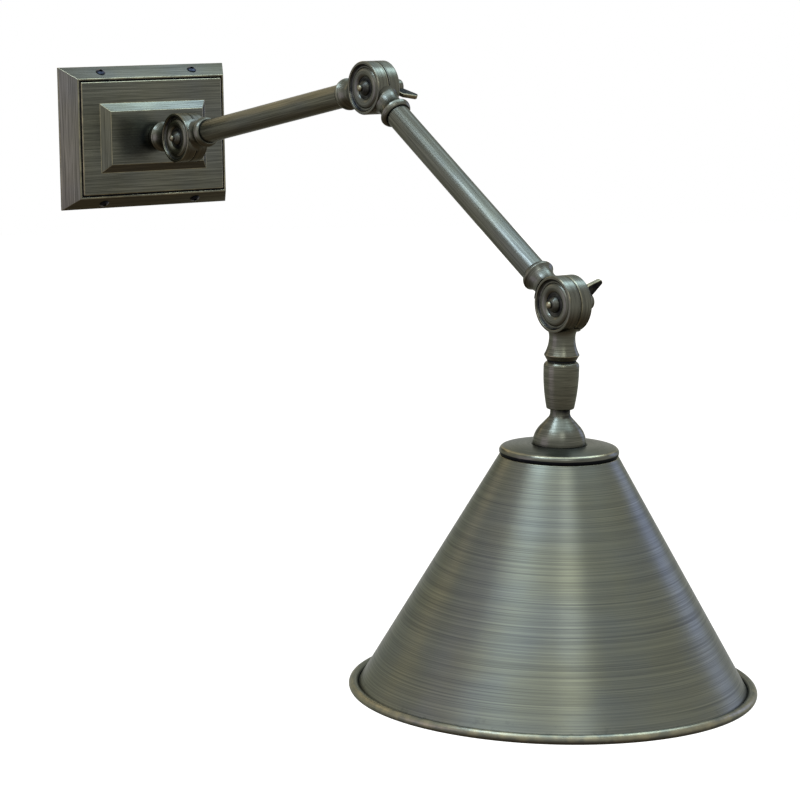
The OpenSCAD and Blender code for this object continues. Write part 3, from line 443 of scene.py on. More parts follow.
def joined(*parts):
    """Several meshes as one. The ones that go in are freed."""
    bm = parts[0]
    for part in parts[1:]:
        mesh = bpy.data.meshes.new("part")
        part.to_mesh(mesh)
        part.free()
        bm.from_mesh(mesh)
        bpy.data.meshes.remove(mesh)
    return bm


def placed(bm, matrix):
    bmesh.ops.transform(bm, matrix=matrix, verts=bm.verts[:])
    return bm


def piece(node, bm, matrix, body, finish="turned antique bronze", slot="", name=""):
    """Turns a mesh in millimetres into a piece that rides on a body and stands for a CAD node. Unless it is
    given, its name is the last word of its finish and the node. The slot argument is not used."""
    stuff = finish.split()[-1]
    slot, name = slot or stuff, name or f"{stuff}_{node}"
    placed(bm, matrix)
    for face in bm.faces:
        face.smooth = True
    for edge in bm.edges:
        if len(edge.link_faces) == 2 and edge.calc_face_angle() > SMOOTH_LIMIT:
            edge.smooth = False
    mesh = bpy.data.meshes.new(name)
    bm.to_mesh(mesh)
    bm.free()
    obj = bpy.data.objects.new(name, mesh)
    bpy.context.scene.collection.objects.link(obj)
    mesh.materials.append(material(finish))
    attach(obj, body)
    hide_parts(node)


# ---- materials ----

def feed(tree, node, inputs):
    """Gives a node's sockets a value or a link."""
    for key, value in inputs.items():
        if isinstance(value, bpy.types.NodeSocket):
            tree.links.new(value, node.inputs[key])
        else:
            node.inputs[key].default_value = value


def add(tree, kind, inputs=None, **settings):
    """Adds a shader node with its settings and inputs."""
    node = tree.nodes.new(f"ShaderNode{kind}")
    for key, value in settings.items():
        setattr(node, key, value)
    feed(tree, node, inputs or {})
    return node


def noise(tree, vector, scale, detail=3, rough=0.55):
    return add(tree, "TexNoise", {"Vector": vector, "Scale": scale, "Detail": detail,
                                  "Roughness": rough}).outputs["Fac"]


def remap(tree, value, low, high, to_low=0, to_high=1):
    return add(tree, "MapRange", {"Value": value, "From Min": low, "From Max": high,
                                  "To Min": to_low, "To Max": to_high}).outputs["Result"]


def maths(tree, operation, a, b):
    return add(tree, "Math", {0: a, 1: b}, operation=operation).outputs[0]


def mixed(tree, factor, a, b):
    """Blends two colours, given as sockets or as linear triples."""
    a, b = [c if isinstance(c, bpy.types.NodeSocket) else (*c, 1) for c in (a, b)]
    return add(tree, "Mix", {0: factor, 6: a, 7: b}, data_type="RGBA").outputs[2]


def new_material(name):
    """A new material with its node tree and its shader."""
    mat = bpy.data.materials.new(name)
    mat.use_nodes = True
    tree = mat.node_tree
    tree.nodes.clear()
    shader = add(tree, "BsdfPrincipled")
    add(tree, "OutputMaterial", {"Surface": shader.outputs[0]})
    return mat, tree, shader


def rubbed_bronze(name, light, dark, across, along_lines, straight, contrast, rough=0.3):
    """Brushed antique bronze: streaks along the turning or brushing lines, edges rubbed to brass, dark
    patina left in the coves, painted highlights and painted shade where the pieces ask for them, and a cool
    or warm drift over large patches. The streaks are "across" wide and "along_lines" long, in millimetres."""
    finish = bpy.context.scene.wall_lamp.finish
    mat, tree, shader = new_material(name)
    grain = add(tree, "Attribute", attribute_name="grain").outputs["Vector"]
    wear_and_painted_light = add(tree, "Attribute", attribute_name="wear_and_painted_light").outputs["Fac"]
    place = add(tree, "TexCoord").outputs["Object"]
    middle = across if straight else along_lines
    scale = (1 / across, 1 / middle, 1 / along_lines)
    lines = add(tree, "Mapping", {"Vector": grain, "Scale": scale}).outputs[0]
    streaks = noise(tree, lines, 1, 4, 0.62)
    hairs = noise(tree, lines, 3.1, 2)
    patches = noise(tree, place, 24, 2)
    blotch = noise(tree, place, 130, 3)
    both = maths(tree, "ADD", maths(tree, "MULTIPLY", streaks, 0.75), maths(tree, "MULTIPLY", hairs, 0.25))
    spread = 0.16 / contrast
    tone = remap(tree, both, 0.5 - spread, 0.5 + spread)
    base = mixed(tree, tone, dark, light)
    drift = mixed(tree, remap(tree, patches, 0.35, 0.65), linear("#fffbf4"), linear("#f6f6fe"))
    base = add(tree, "Mix", {0: 1, 6: base, 7: drift}, data_type="RGBA", blend_type="MULTIPLY").outputs[2]
    # Above 0 the tone turns the metal brassy: rubbed wear, and on the cap's shoulder and the shade's bead a
    # painted highlight. Below 0 it turns it near-black: patina in the coves, and painted shade under the
    # cap's edge, round the dome's foot, in the throat, in the knuckles' split and at the shade's bead.
    bright = maths(tree, "ADD", wear_and_painted_light, remap(tree, blotch, 0.35, 0.65, -0.3, 0.25))
    bright = remap(tree, bright, 0.3, 1.2)
    patina_and_shade_mask = remap(tree, maths(tree, "ADD", wear_and_painted_light, remap(tree, blotch, 0.3, 0.7, -0.2, 0.2)), -0.22, -0.85)
    base = mixed(tree, bright, base, tuple(finish.wear_and_sheen))
    base = mixed(tree, patina_and_shade_mask, base, tuple(finish.patina_and_shade))
    bump = add(tree, "Bump", {"Strength": 0.15 if straight else 0.35, "Distance": 0.00004, "Height": both})
    # The lines draw the highlight out across themselves, a quarter turn from the map's way
    tangent = add(tree, "Tangent", direction_type="UV_MAP", uv_map="UVMap")
    lines_way = {"Anisotropic": 0.6, "Anisotropic Rotation": 0.25, "Tangent": tangent.outputs[0]}
    # Patina, and the painted shade drawn with the same mask, is duller than the rubbed metal
    dull = maths(tree, "ADD", remap(tree, both, 0.3, 0.7, rough + 0.06, rough - 0.04),
                 maths(tree, "MULTIPLY", patina_and_shade_mask, 0.3))
    # A lacquered patina goes dark before the edge, where bare metal would go white
    edge_tint = (*linear("#c4c6c0"), 1)
    feed(tree, shader, {"Base Color": base, "Metallic": 1, "Roughness": dull, "Normal": bump.outputs[0],
                        "Specular Tint": edge_tint, **lines_way})
    return mat


def plain_finish(name, code, dark_code, rough, scale, metal=True):
    """A finish with a faint cloudy tone: fine scratches on a metal, a fine grain on anything else."""
    finer, detail, polish, strength, depth = (14, 2, 0.06, 0.2, 2e-5) if metal else (8, 3, 0.05, 0.3, 3e-5)
    mat, tree, shader = new_material(name)
    place = add(tree, "TexCoord").outputs["Object"]
    cloud = noise(tree, place, scale, 4)
    fine = noise(tree, place, scale * finer, detail)
    bump = add(tree, "Bump", {"Strength": strength, "Distance": depth, "Height": fine})
    feed(tree, shader, {
        "Base Color": mixed(tree, remap(tree, cloud, 0.35, 0.65), linear(dark_code), linear(code)),
        "Roughness": remap(tree, fine, 0.3, 0.7, rough - polish, rough + 0.08),
        "Normal": bump.outputs[0], "Metallic": 1 if metal else 0})
    return mat


def frosted_glass(name):
    """The bulb's white inner coating under smooth glass: milky, a little glossy."""
    mat, tree, shader = new_material(name)
    place = add(tree, "TexCoord").outputs["Object"]
    cloud = noise(tree, place, 60, 3)
    feed(tree, shader, {
        "Base Color": mixed(tree, remap(tree, cloud, 0.3, 0.7), linear("#e9e7df"), linear("#f4f2ec")),
        "Roughness": remap(tree, cloud, 0.3, 0.7, 0.28, 0.36), "IOR": 1.52, "Transmission Weight": 0.25})
    return mat


# Colour, darker clouds, roughness, scale of the clouds, and False where it isn't a metal
PLAIN_FINISHES = {
    # Near-black screw heads with a dull blue glint
    "blackened steel": ("#2b2f38", "#1a1c22", 0.36, 300),
    # Warm yellow with a soft shine
    "lacquered brass": ("#c9a25a", "#b08a47", 0.28, 120),
    # Pale grey, faintly clouded
    "zinc-plated steel": ("#b9bcc0", "#a3a7ab", 0.36, 90),
    # The green that marks a ground screw
    "green zinc plating": ("#3f8d5c", "#2f7348", 0.34, 200),
    # Dull dark brown
    "vulcanised fibre": ("#3a332c", "#2a241f", 0.7, 400, False),
    # A gold sleeve with a little shine
    "lamp wire sleeve": ("#b49b6f", "#9c8357", 0.5, 300, False),
    # A dark moulding with a low gloss
    "black phenolic": ("#2b2624", "#211d1b", 0.38, 150, False),
    # Bright thin sheet
    "aluminium": ("#c7c9cc", "#b5b8bb", 0.34, 160),
}


def material(name):
    """One of the lamp's finishes, made when it is first asked for."""
    if name in bpy.data.materials:
        return bpy.data.materials[name]
    if name in PLAIN_FINISHES:
        return plain_finish(name, *PLAIN_FINISHES[name])
    if name == "frosted glass":
        return frosted_glass(name)
    finish = bpy.context.scene.wall_lamp.finish
    bronze = tuple(finish.bronze), tuple(finish.bronze_dark)
    # The shade takes the lighter copy of the bronze, which paints in the light it catches
    shade = tuple(finish.shade), tuple(finish.shade_dark)
    bronzes = {
        # Streaks 0.5 mm wide, drawn as fine as the picture can show, a few cm long round the piece
        "turned antique bronze": (*bronze, 0.5, 22, False, 1.1),
        # Brushing lines on the plate and along the tubes
        "brushed antique bronze": (*bronze, 0.7, 50, True, 1.25),
        # The shade's spinning lines, which run a third of the way round
        "spun antique bronze": (*shade, 0.65, 170, False, 1.1, 0.36),
    }
    return rubbed_bronze(name, *bronzes[name])


def dress_node(node, name):
    """Gives a CAD node one of the finishes."""
    obj = frame["nodes"][node]
    obj.data.materials.clear()
    obj.data.materials.append(material(name))


# ---- wall plate ----

def plate_levels(k):
    """Heights above the wall of the panel, the boss and the boss's underside, in millimetres."""
    panel_t = k.rim_t + k.panel_rise
    boss_t = panel_t + k.boss_rise
    return panel_t, boss_t, boss_t - k.boss_wall


def plate_mesh(k):
    """The hollow plate, from the hole in the boss over the front, round the lip and back inside. Each
    step widens a rectangle of edges; the faces between are the plate's surfaces."""
    slope = k.slope_inset / (k.rim_t - k.lip_t)
    stretch = sqrt(1 + slope * slope)
    half_w, half_h = k.width / 2, k.height / 2
    rim, panel = k.slope_inset + k.rim_w, k.slope_inset + k.rim_w + k.groove_w
    panel_t, boss_t, under = plate_levels(k)
    boss_slope = k.boss_bevel / k.boss_rise
    inset = k.boss_wall * (sqrt(1 + boss_slope * boss_slope) - boss_slope)
    cavity = k.rim_t - k.face_wall
    side = k.wall * stretch
    deep = side + slope * (cavity - k.lip_t)
    spread = (under - cavity) * boss_slope
    boss_w, boss_h = k.boss_w / 2, k.boss_h / 2
    top_w, top_h = boss_w - k.boss_bevel, boss_h - k.boss_bevel
    # Half width, half height and distance from the wall
    steps = [
        (top_w, top_h, boss_t), (boss_w, boss_h, panel_t),
        (half_w - panel - k.panel_bevel, half_h - panel - k.panel_bevel, panel_t),
        (half_w - panel, half_h - panel, panel_t - k.panel_bevel),
        (half_w - panel, half_h - panel, k.rim_t - k.groove_depth),
        (half_w - rim, half_h - rim, k.rim_t - k.groove_depth), (half_w - rim, half_h - rim, k.rim_t),
        (half_w - k.slope_inset, half_h - k.slope_inset, k.rim_t), (half_w, half_h, k.lip_t),
        (half_w, half_h, 0), (half_w - side, half_h - side, 0), (half_w - side, half_h - side, k.lip_t),
        (half_w - deep, half_h - deep, cavity),
        (top_w - inset + spread, top_h - inset + spread, cavity), (top_w - inset, top_h - inset, under),
    ]
    bm = bmesh.new()
    wear_and_painted_light = bm.verts.layers.float.new("wear_and_painted_light")
    ring = bmesh.ops.create_circle(bm, cap_ends=False, segments=HOLE_STEPS, radius=k.hole_r)["verts"]
    for vert in ring:
        vert.co.z = boss_t
    hole = list(dict.fromkeys(e for v in ring for e in v.link_edges))
    first = bmesh.ops.create_grid(bm, x_segments=1, y_segments=1, size=1)["verts"]
    face = first[0].link_faces[0]
    loop = top_loop = list(face.edges)
    bmesh.ops.delete(bm, geom=[face], context="FACES_ONLY")
    for number, (w, h, t) in enumerate(steps):
        if number:
            made = bmesh.ops.extrude_edge_only(bm, edges=loop)["geom"]
            loop = [e for e in made if isinstance(e, bmesh.types.BMEdge) and all(v in made for v in e.verts)
                    and len(e.link_faces) == 1]
        verts = {v for e in loop for v in e.verts}
        for vert in verts:
            vert.co = (w if vert.co.x > 0 else -w, h if vert.co.y > 0 else -h, t)
    # The hole's wall, and the two faces with a round hole and a square outline
    made = bmesh.ops.extrude_edge_only(bm, edges=hole)["geom"]
    low_ring = [v for v in made if isinstance(v, bmesh.types.BMVert)]
    for vert in low_ring:
        vert.co.z = under
    low_hole = [e for e in made
                if isinstance(e, bmesh.types.BMEdge) and all(v in low_ring for v in e.verts)]
    for square, circle, (w, h, level) in ((top_loop, hole, steps[0]), (loop, low_hole, steps[-1])):
        bmesh.ops.subdivide_edges(bm, edges=list(square), cuts=HOLE_STEPS // 4 - 1)
        rim_edges = [e for e in bm.edges if all(abs(v.co.z - level) < 1e-4 for v in e.verts)
                     and all(max(abs(v.co.x) / w, abs(v.co.y) / h) > 1 - 1e-5 for v in e.verts)]
        bmesh.ops.bridge_loops(bm, edges=rim_edges + circle)
    bmesh.ops.recalc_face_normals(bm, faces=bm.faces[:])
    # The front's edges are rounded, and rubbed bright along the middle of the rounding
    sharp = [e for e in bm.edges if len(e.link_faces) == 2 and e.calc_face_angle() > radians(20)
             and max(v.co.z for v in e.verts) > k.lip_t - 1e-4 and outside(e, k)]
    made = bmesh.ops.bevel(bm, geom=sharp, offset=k.edge, segments=3, profile=0.5, affect="EDGES",
                           clamp_overlap=True, material=-1)
    strips = set(made["faces"])
    for vert in made["verts"]:
        if all(f in strips for f in vert.link_faces):
            vert[wear_and_painted_light] = 1
    # The panel's edge and the rim are rubbed a little, and the groove's floor is dark
    panel_foot, groove_floor = panel_t - k.panel_bevel, k.rim_t - k.groove_depth + 0.5
    for vert in bm.verts:
        x, y, z = abs(vert.co.x), abs(vert.co.y), vert.co.z
        if panel_foot + SAME < z < panel_t - SAME and max(x - boss_w, y - boss_h) > 1:
            vert[wear_and_painted_light] = 0.9
        if abs(z - k.rim_t) < SAME:
            vert[wear_and_painted_light] = 0.5
        beside = half_w - panel - 0.2 < x or half_h - panel - 0.2 < y < half_h - rim + 0.2
        if beside and cavity < z < groove_floor:
            vert[wear_and_painted_light] = -1
    return bm


def outside(edge, k):
    """True for an edge on the plate's front, and not in its hollow."""
    slope = k.slope_inset / (k.rim_t - k.lip_t)
    panel_t, _, under = plate_levels(k)
    for vert in edge.verts:
        x, y, z = abs(vert.co.x), abs(vert.co.y), vert.co.z
        inset = max(0, z - k.lip_t) * slope
        near_side = x > k.width / 2 - inset - 0.3 or y > k.height / 2 - inset - 0.3
        if z < k.rim_t - k.groove_depth - 0.05 and not near_side:
            return False
        if panel_t + 0.05 < z < under + 0.05:
            return False
    return True


def lay_plate_grain(bm):
    """Brushing runs sideways on the plate's front and along the length of each slope."""
    grain = bm.loops.layers.float_vector.new("grain")
    uv = bm.loops.layers.uv.new("UVMap")
    for face in bm.faces:
        upright = abs(face.normal.x) > abs(face.normal.y) and abs(face.normal.x) > 0.3
        for loop in face.loops:
            x, y, z = loop.vert.co
            loop[grain] = (x, z, y) if upright else (y, z, x)
            loop[uv].uv = (y * MM, (x + z) * MM) if upright else (x * MM, (y + z) * MM)


def build_plate(lamp):
    k = millimetres(lamp.plate)
    bm = plate_mesh(k)
    lay_plate_grain(bm)
    piece("backplate", bm, on_wall(), "wall_plate", "brushed antique bronze")


def build_screws(lamp):
    """Four small screws with a round recess in a domed head."""
    k = millimetres(lamp.plate)
    tilt = atan2(k.rim_t - k.lip_t, k.slope_inset)
    up = (k.height - k.slope_inset) / 2
    out = k.lip_t + (k.rim_t - k.lip_t) / 2
    pit_r, low = 0.42 * k.screw_head_r, k.screw_head_h / 3
    outline = ([(0, -k.screw_len), (k.screw_r, -k.screw_len, 0.3), (k.screw_r, 0), (k.screw_head_r, 0, 0.2)]
               + crown(k.screw_head_r, low, pit_r, k.screw_head_h) + [(pit_r, low, 0, -1), (0, low, 0, -1)])
    heads = []
    for side_x in (-1, 1):
        for side_y in (-1, 1):
            place = Matrix.Translation((side_x * k.screw_spacing / 2, side_y * up, out))
            place @= Matrix.Rotation(-side_y * tilt, 4, "X")
            heads.append(placed(turned(outline, SMALL_STEPS), place))
    piece("plate_screws", joined(*heads), on_wall(), "wall_plate", "blackened steel", "dark_bronze")


def build_bush(lamp):
    """The round spacer between the boss and the first knuckle, with its spigot in the boss's hole."""
    k = millimetres(lamp.plate)
    _, boss_t, under = plate_levels(k)
    hole = millimetres(lamp.neck).nipple_r + RUN
    outline = [(hole, under), (k.spigot_r, under), (k.spigot_r, boss_t), (k.bush_r, boss_t, 0.4, -1),
               (k.bush_r, boss_t + k.bush_t, 0.6), (hole, boss_t + k.bush_t)]
    piece("swivel_bush", turned(outline, ring=True), on_wall(), "wall_plate", slot="dark_bronze")


# ---- knuckles ----

def half_disc(k, hole_r, split_light_and_shade):
    """One half of a knuckle, with Z away from the split plane: rim, dark cove, raised ring, sunk middle."""
    face_u = k.split / 2
    rim_in = k.disc_r - k.rim_w
    ring_mid, ring_half = (k.ring_out + k.ring_in) / 2, (k.ring_out - k.ring_in) / 2
    ring_arc = (ring_half ** 2 + k.ring_rise ** 2) / (2 * k.ring_rise)
    crest = k.half_t - k.ring_drop
    start = acos(ring_half / ring_arc)
    pit_u = k.half_t - k.pit
    hollow_u, hollow_r = pit_u - k.floor, k.disc_r - k.outer_wall
    outline = (
        [(hole_r, face_u), (k.hub_r, face_u), (k.hub_r, hollow_u), (hollow_r, hollow_u), (hollow_r, face_u),
         # The split edge is lightened or darkened as the caller gives: a painted highlight on one half,
         # painted shade on the other
         (k.disc_r, face_u, 0.3, split_light_and_shade), (k.disc_r, face_u + SPLIT_LINE, 0, split_light_and_shade),
         (k.disc_r, face_u + 1.5 * SPLIT_LINE)]
        + wear_and_sheen(arc(k.disc_r - k.edge_r, k.half_t - k.edge_r, k.edge_r, 0, pi / 2, 8), 0.55)
        + [(rim_in, k.half_t, 0.3)]
        + wear_and_sheen(arc(rim_in - k.cove, k.half_t, k.cove, -0.25, -pi / 2, 10), -0.75)
        + [(k.ring_out, k.half_t - k.cove, 0, -0.6)]
        + even_wear_and_shade(arc(ring_mid, crest - ring_arc, ring_arc, start, pi - start, 16), 0.1)
        + [(k.ring_in, pit_u, 0, -0.6), (k.head_r + 0.4, pit_u, 0, -0.7), (hole_r, pit_u, 0, -0.7)])
    return turned(outline, ring=True)


def cut_across(bm, n, x, way, clear):
    """Cuts a neck's root along a plane across X, and takes off what is beyond it if asked."""
    root = [f for f in bm.faces if f.calc_center_median().z < n.waist_z]
    geom = list(dict.fromkeys(g for f in root for g in (f, *f.edges, *f.verts)))
    bmesh.ops.bisect_plane(bm, geom=geom, plane_co=(x, 0, 0), plane_no=(way, 0, 0), clear_outer=clear)


def cut_root(bm, side, k, n):
    """Fits a neck's root to the discs: no thicker than them, sunk into its own half's disc and standing
    clear of the other half's."""
    thick = k.half_t - n.side_gap
    for way in (-1, 1):
        cut_across(bm, n, way * thick, way, True)
    bmesh.ops.holes_fill(bm, edges=[e for e in bm.edges if e.is_boundary], sides=0)
    for x in (k.split / 2, k.split / 2 + 0.05):
        cut_across(bm, n, side * x, 1, False)
    for vert in bm.verts:
        own = vert.co.x * side > k.split / 2 + 0.02
        reach = k.disc_r - k.rim_w / 2 if own else k.disc_r + n.cope_gap
        if vert.co.z < n.waist_z and hypot(vert.co.y, vert.co.z) < reach:
            vert.co.z = sqrt(reach * reach - vert.co.y ** 2)
    bmesh.ops.recalc_face_normals(bm, faces=bm.faces[:])
    return bm


def collar_neck(k, n, side, seat_r):
    """A turned neck: root, waist, ring collar, and a seat for the tube or nipple in its end."""
    root_z = sqrt(k.disc_r ** 2 - n.root_r ** 2)
    crest_z, mid_r = n.length - n.collar_back, n.collar_r - n.collar_round
    end = asin(n.collar_back / n.collar_round)
    edge_r = mid_r + n.collar_round * cos(end)
    seat_z = n.length - n.seat
    outline = (
        [(0, root_z - 2), (n.root_r, root_z - 2)]
        + list(reversed(flare(n.waist_r, n.waist_z, n.root_r, root_z)))
        + flare(n.waist_r, n.waist_z, n.collar_r, crest_z)[1:-1] + [(n.collar_r, crest_z, 0.7, 1)]
        + arc(mid_r, crest_z, n.collar_round, 0, end)[1:-1]
        + [(edge_r, n.length, 0.35, 0.3), (n.tube_r, n.length, 0, -1), (seat_r, n.length, 0, -1),
           (seat_r, seat_z), (0, seat_z)])
    return cut_root(turned(outline), side, k, n)


def bell_neck(k, n, side, seat_r):
    """The lamp head's neck, which flares out like a bell to a bevelled edge."""
    root_z = sqrt(k.disc_r ** 2 - n.root_r ** 2)
    end_z = n.bell_z + n.bell_bevel
    outline = (
        [(0, root_z - 2), (n.root_r, root_z - 2)]
        + list(reversed(flare(n.bell_waist_r, n.bell_waist_z, n.root_r, root_z)))
        + flare(n.bell_waist_r, n.bell_waist_z, n.bell_r, n.bell_z, 16)[1:-1]
        + [(n.bell_r, n.bell_z, 0.6), (n.bell_end_r, end_z, 0.4, -0.8), (seat_r, end_z),
           (seat_r, end_z - n.bell_seat), (0, end_z - n.bell_seat)])
    return cut_root(turned(outline), side, k, n)


def build_knuckles(lamp):
    """The six knuckle halves with their necks."""
    k, n = millimetres(lamp.knuckle), millimetres(lamp.neck)
    fixed, turning = k.bolt_r + SEAT, k.bolt_r + RUN
    tube, nipple = n.tube_r + SEAT, n.nipple_r + SEAT
    halves = [
        ("base_knuckle", "base_swivel", along(pivot(1), pi), -1, fixed, collar_neck, nipple),
        ("arm_1_inner_knuckle", "arm_1", along(pivot(1), arm_angle(1)), 1, turning, collar_neck, tube),
        ("arm_1_outer_knuckle", "arm_1", along(pivot(2), arm_angle(1) + pi), -1, fixed, collar_neck, tube),
        ("arm_2_inner_knuckle", "arm_2", along(pivot(2), arm_angle(2)), 1, turning, collar_neck, tube),
        ("arm_2_outer_knuckle", "arm_2", along(pivot(3), arm_angle(2) + pi), 1, turning, collar_neck, tube),
        ("shade_knuckle", "lamp_head", along(pivot(3), lamp.head_angle), -1, fixed, bell_neck, nipple),
    ]
    for node, body, matrix, side, hole_r, neck, seat_r in halves:
        # The split shows as the carrying half's edge, rubbed bright and painted as a highlight, beside the
        # carried half's edge, darkened with painted shade
        carries = node in ("base_knuckle", "arm_1_outer_knuckle", "arm_2_outer_knuckle")
        disc = half_disc(k, hole_r, 1 if carries else -0.6)
        placed(disc, Matrix.Rotation(side * pi / 2, 4, "Y"))
        bm = joined(disc, neck(k, n, side, seat_r))
        piece(node, bm, matrix, body)


def build_bolts(lamp):
    """The three pivot bolts: a domed button with a small nub in the front, a plain tail at the back."""
    k, v = millimetres(lamp.knuckle), millimetres(lamp.lever)
    pit_u = k.half_t - k.pit
    end_u = pit_u + v.washer_t + TURN_GAP + v.nut_len + k.tail
    nub_u = pit_u + k.head_h
    top_u = nub_u + k.nub_edge
    outline = (
        [(0, -end_u), (k.bolt_r, -end_u, 0.7), (k.bolt_r, pit_u), (k.head_r, pit_u, 0, -0.6)]
        + even_wear_and_shade(crown(k.head_r, pit_u + k.head_edge, k.nub_r, nub_u, 12)[:-1], -0.45)
        + [(k.nub_r, nub_u, 0, -0.5), (k.nub_r, top_u, 0.25)]
        + even_wear_and_shade(crown(k.nub_r, top_u, 0, top_u + k.nub_dome)[1:], 1))
    places = [("pivot_bolt_1", "base_swivel", pivot(1), arm_angle(1)),
              ("pivot_bolt_2", "arm_1", pivot(2), arm_angle(1)),
              ("pivot_bolt_3", "lamp_head", pivot(3), lamp.head_angle)]
    for node, body, place, angle in places:
        bm = placed(turned(outline, MIDDLE_STEPS), Matrix.Rotation(-pi / 2, 4, "Y"))
        piece(node, bm, along(place, angle), body, slot="dark_bronze")


def blade_mesh(v, start_u):
    """The lever's thumb blade: a flat outline, thickened and rounded all round."""
    tip_u = start_u - TURN_GAP + v.out
    foot = 0.76 * v.nut_r
    outline = ([(start_u + 0.3 * v.nut_len, foot), ((start_u + tip_u) / 2, 0.93 * v.reach)]
               + arc(tip_u, v.reach, v.tip_r, radians(100), radians(-4))
               + [(start_u + 0.98 * v.nut_len, foot)])
    bm = bmesh.new()
    wear_and_painted_light = bm.verts.layers.float.new("wear_and_painted_light")
    bm.verts.layers.float.new("run")
    face = bm.faces.new([bm.verts.new((x, -v.blade_t / 2, z)) for x, z in outline])
    made = bmesh.ops.extrude_face_region(bm, geom=[face])["geom"]
    far_side = [g for g in made if isinstance(g, bmesh.types.BMVert)]
    bmesh.ops.translate(bm, verts=far_side, vec=(0, v.blade_t, 0))
    bmesh.ops.recalc_face_normals(bm, faces=bm.faces[:])
    sharp = [e for e in bm.edges if abs(e.verts[0].co.y - e.verts[1].co.y) < 1e-4]
    bmesh.ops.bevel(bm, geom=sharp, offset=v.bevel, segments=3, profile=0.5, affect="EDGES",
                    clamp_overlap=True, material=-1)
    # The narrow edge is rubbed bright, the flat sides are left dark
    for vert in bm.verts:
        vert[wear_and_painted_light] = -0.7 if abs(vert.co.y) > v.blade_t / 2 - 1e-3 else 1
    lay_grain(bm, True)
    return bm


def build_levers(lamp):
    """The three lever nuts with their thumb blades, and the washers under them."""
    k, v = millimetres(lamp.knuckle), millimetres(lamp.lever)
    pit_u = k.half_t - k.pit
    start_u = pit_u + v.washer_t + TURN_GAP
    hole = k.bolt_r + RUN
    angles = [lamp.lever_angle_1, lamp.lever_angle_2, lamp.lever_angle_3]
    washer_bodies = ["arm_1", "arm_2", "arm_2"]
    for i in range(3):
        hub = turned([(hole, start_u), (v.nut_r, start_u, 0.5), (v.nut_end_r, start_u + v.nut_len, 0.8),
                      (hole, start_u + v.nut_len, 0.3)], MIDDLE_STEPS, ring=True)
        bm = joined(placed(hub, Matrix.Rotation(pi / 2, 4, "Y")), blade_mesh(v, start_u))
        piece(f"lever_nut_{i + 1}", bm, along(pivot(i + 1), angles[i]), f"lever_{i + 1}")
        ring = turned([(hole, pit_u), (v.washer_r, pit_u, 0.2), (v.washer_r, pit_u + v.washer_t, 0.3),
                       (hole, pit_u + v.washer_t)], MIDDLE_STEPS, ring=True)
        piece(f"lever_washer_{i + 1}", placed(ring, Matrix.Rotation(pi / 2, 4, "Y")),
              along(pivot(i + 1), 0), washer_bodies[i])


def build_tubes(lamp):
    """The two arm tubes, brushed along their length."""
    n = millimetres(lamp.neck)
    start = n.length - n.seat
    for i in (1, 2):
        end = (pivot(i + 1) - pivot(i)).length / MM - start
        inner = n.tube_r - n.tube_wall
        outline = [(inner, start), (n.tube_r, start), (n.tube_r, end), (inner, end)]
        piece(f"arm_{i}_tube", turned(outline, MIDDLE_STEPS, ring=True, straight=True),
              along(pivot(i), arm_angle(i)), f"arm_{i}", "brushed antique bronze")


# ---- lamp head ----

def head_levels(lamp):
    """Distances from the last pivot to the levels of the lamp head, in millimetres."""
    n, h, b = millimetres(lamp.neck), millimetres(lamp.head), millimetres(lamp.light)
    z = SimpleNamespace()
    z.bell = n.bell_z + n.bell_bevel
    z.groove = z.bell + h.groove_h
    z.shoulder = z.groove + h.shoulder
    z.taper = z.shoulder + h.straight
    z.foot = z.taper + h.taper
    z.barrel = z.foot + h.foot_round
    z.throat = z.barrel + h.throat_len
    # The dome's curve sets in 42 degrees above its widest place, where the throat's fillet meets it
    z.start = radians(42)
    z.slope = atan2(h.dome_r * sin(z.start), h.dome_h * cos(z.start))
    fillet_r = h.throat_r + h.throat_fillet * (1 - cos(z.slope))
    z.dome_top = (z.throat + h.throat_fillet * sin(z.slope)
                  + (h.dome_r * cos(z.start) - fillet_r) / tan(z.slope))
    z.dome_mid = z.dome_top + h.dome_h * sin(z.start)
    z.cap = z.dome_mid + h.dome_foot
    z.cap_edge = z.cap + h.cap_crown + h.cap_round
    z.cap_end = z.cap_edge + h.cap_skirt
    z.shade = z.cap_end + h.shade_gap
    z.bead = z.shade + h.shade_h
    z.holder = z.shade + h.shade_wall
    z.holder_cap = z.holder + b.cap_h
    z.holder_end = z.holder_cap + b.body_len
    z.socket = z.holder_end - b.socket
    z.shell_end = z.holder_end - b.shell_recess
    z.bulb = z.socket + b.contact_t + TURN_GAP
    return z


def head_piece(lamp, node, bm, *look):
    """A piece of the lamp head, with Z along the head's axis from the last pivot."""
    piece(node, bm, along(pivot(3), lamp.head_angle), "lamp_head", *look)


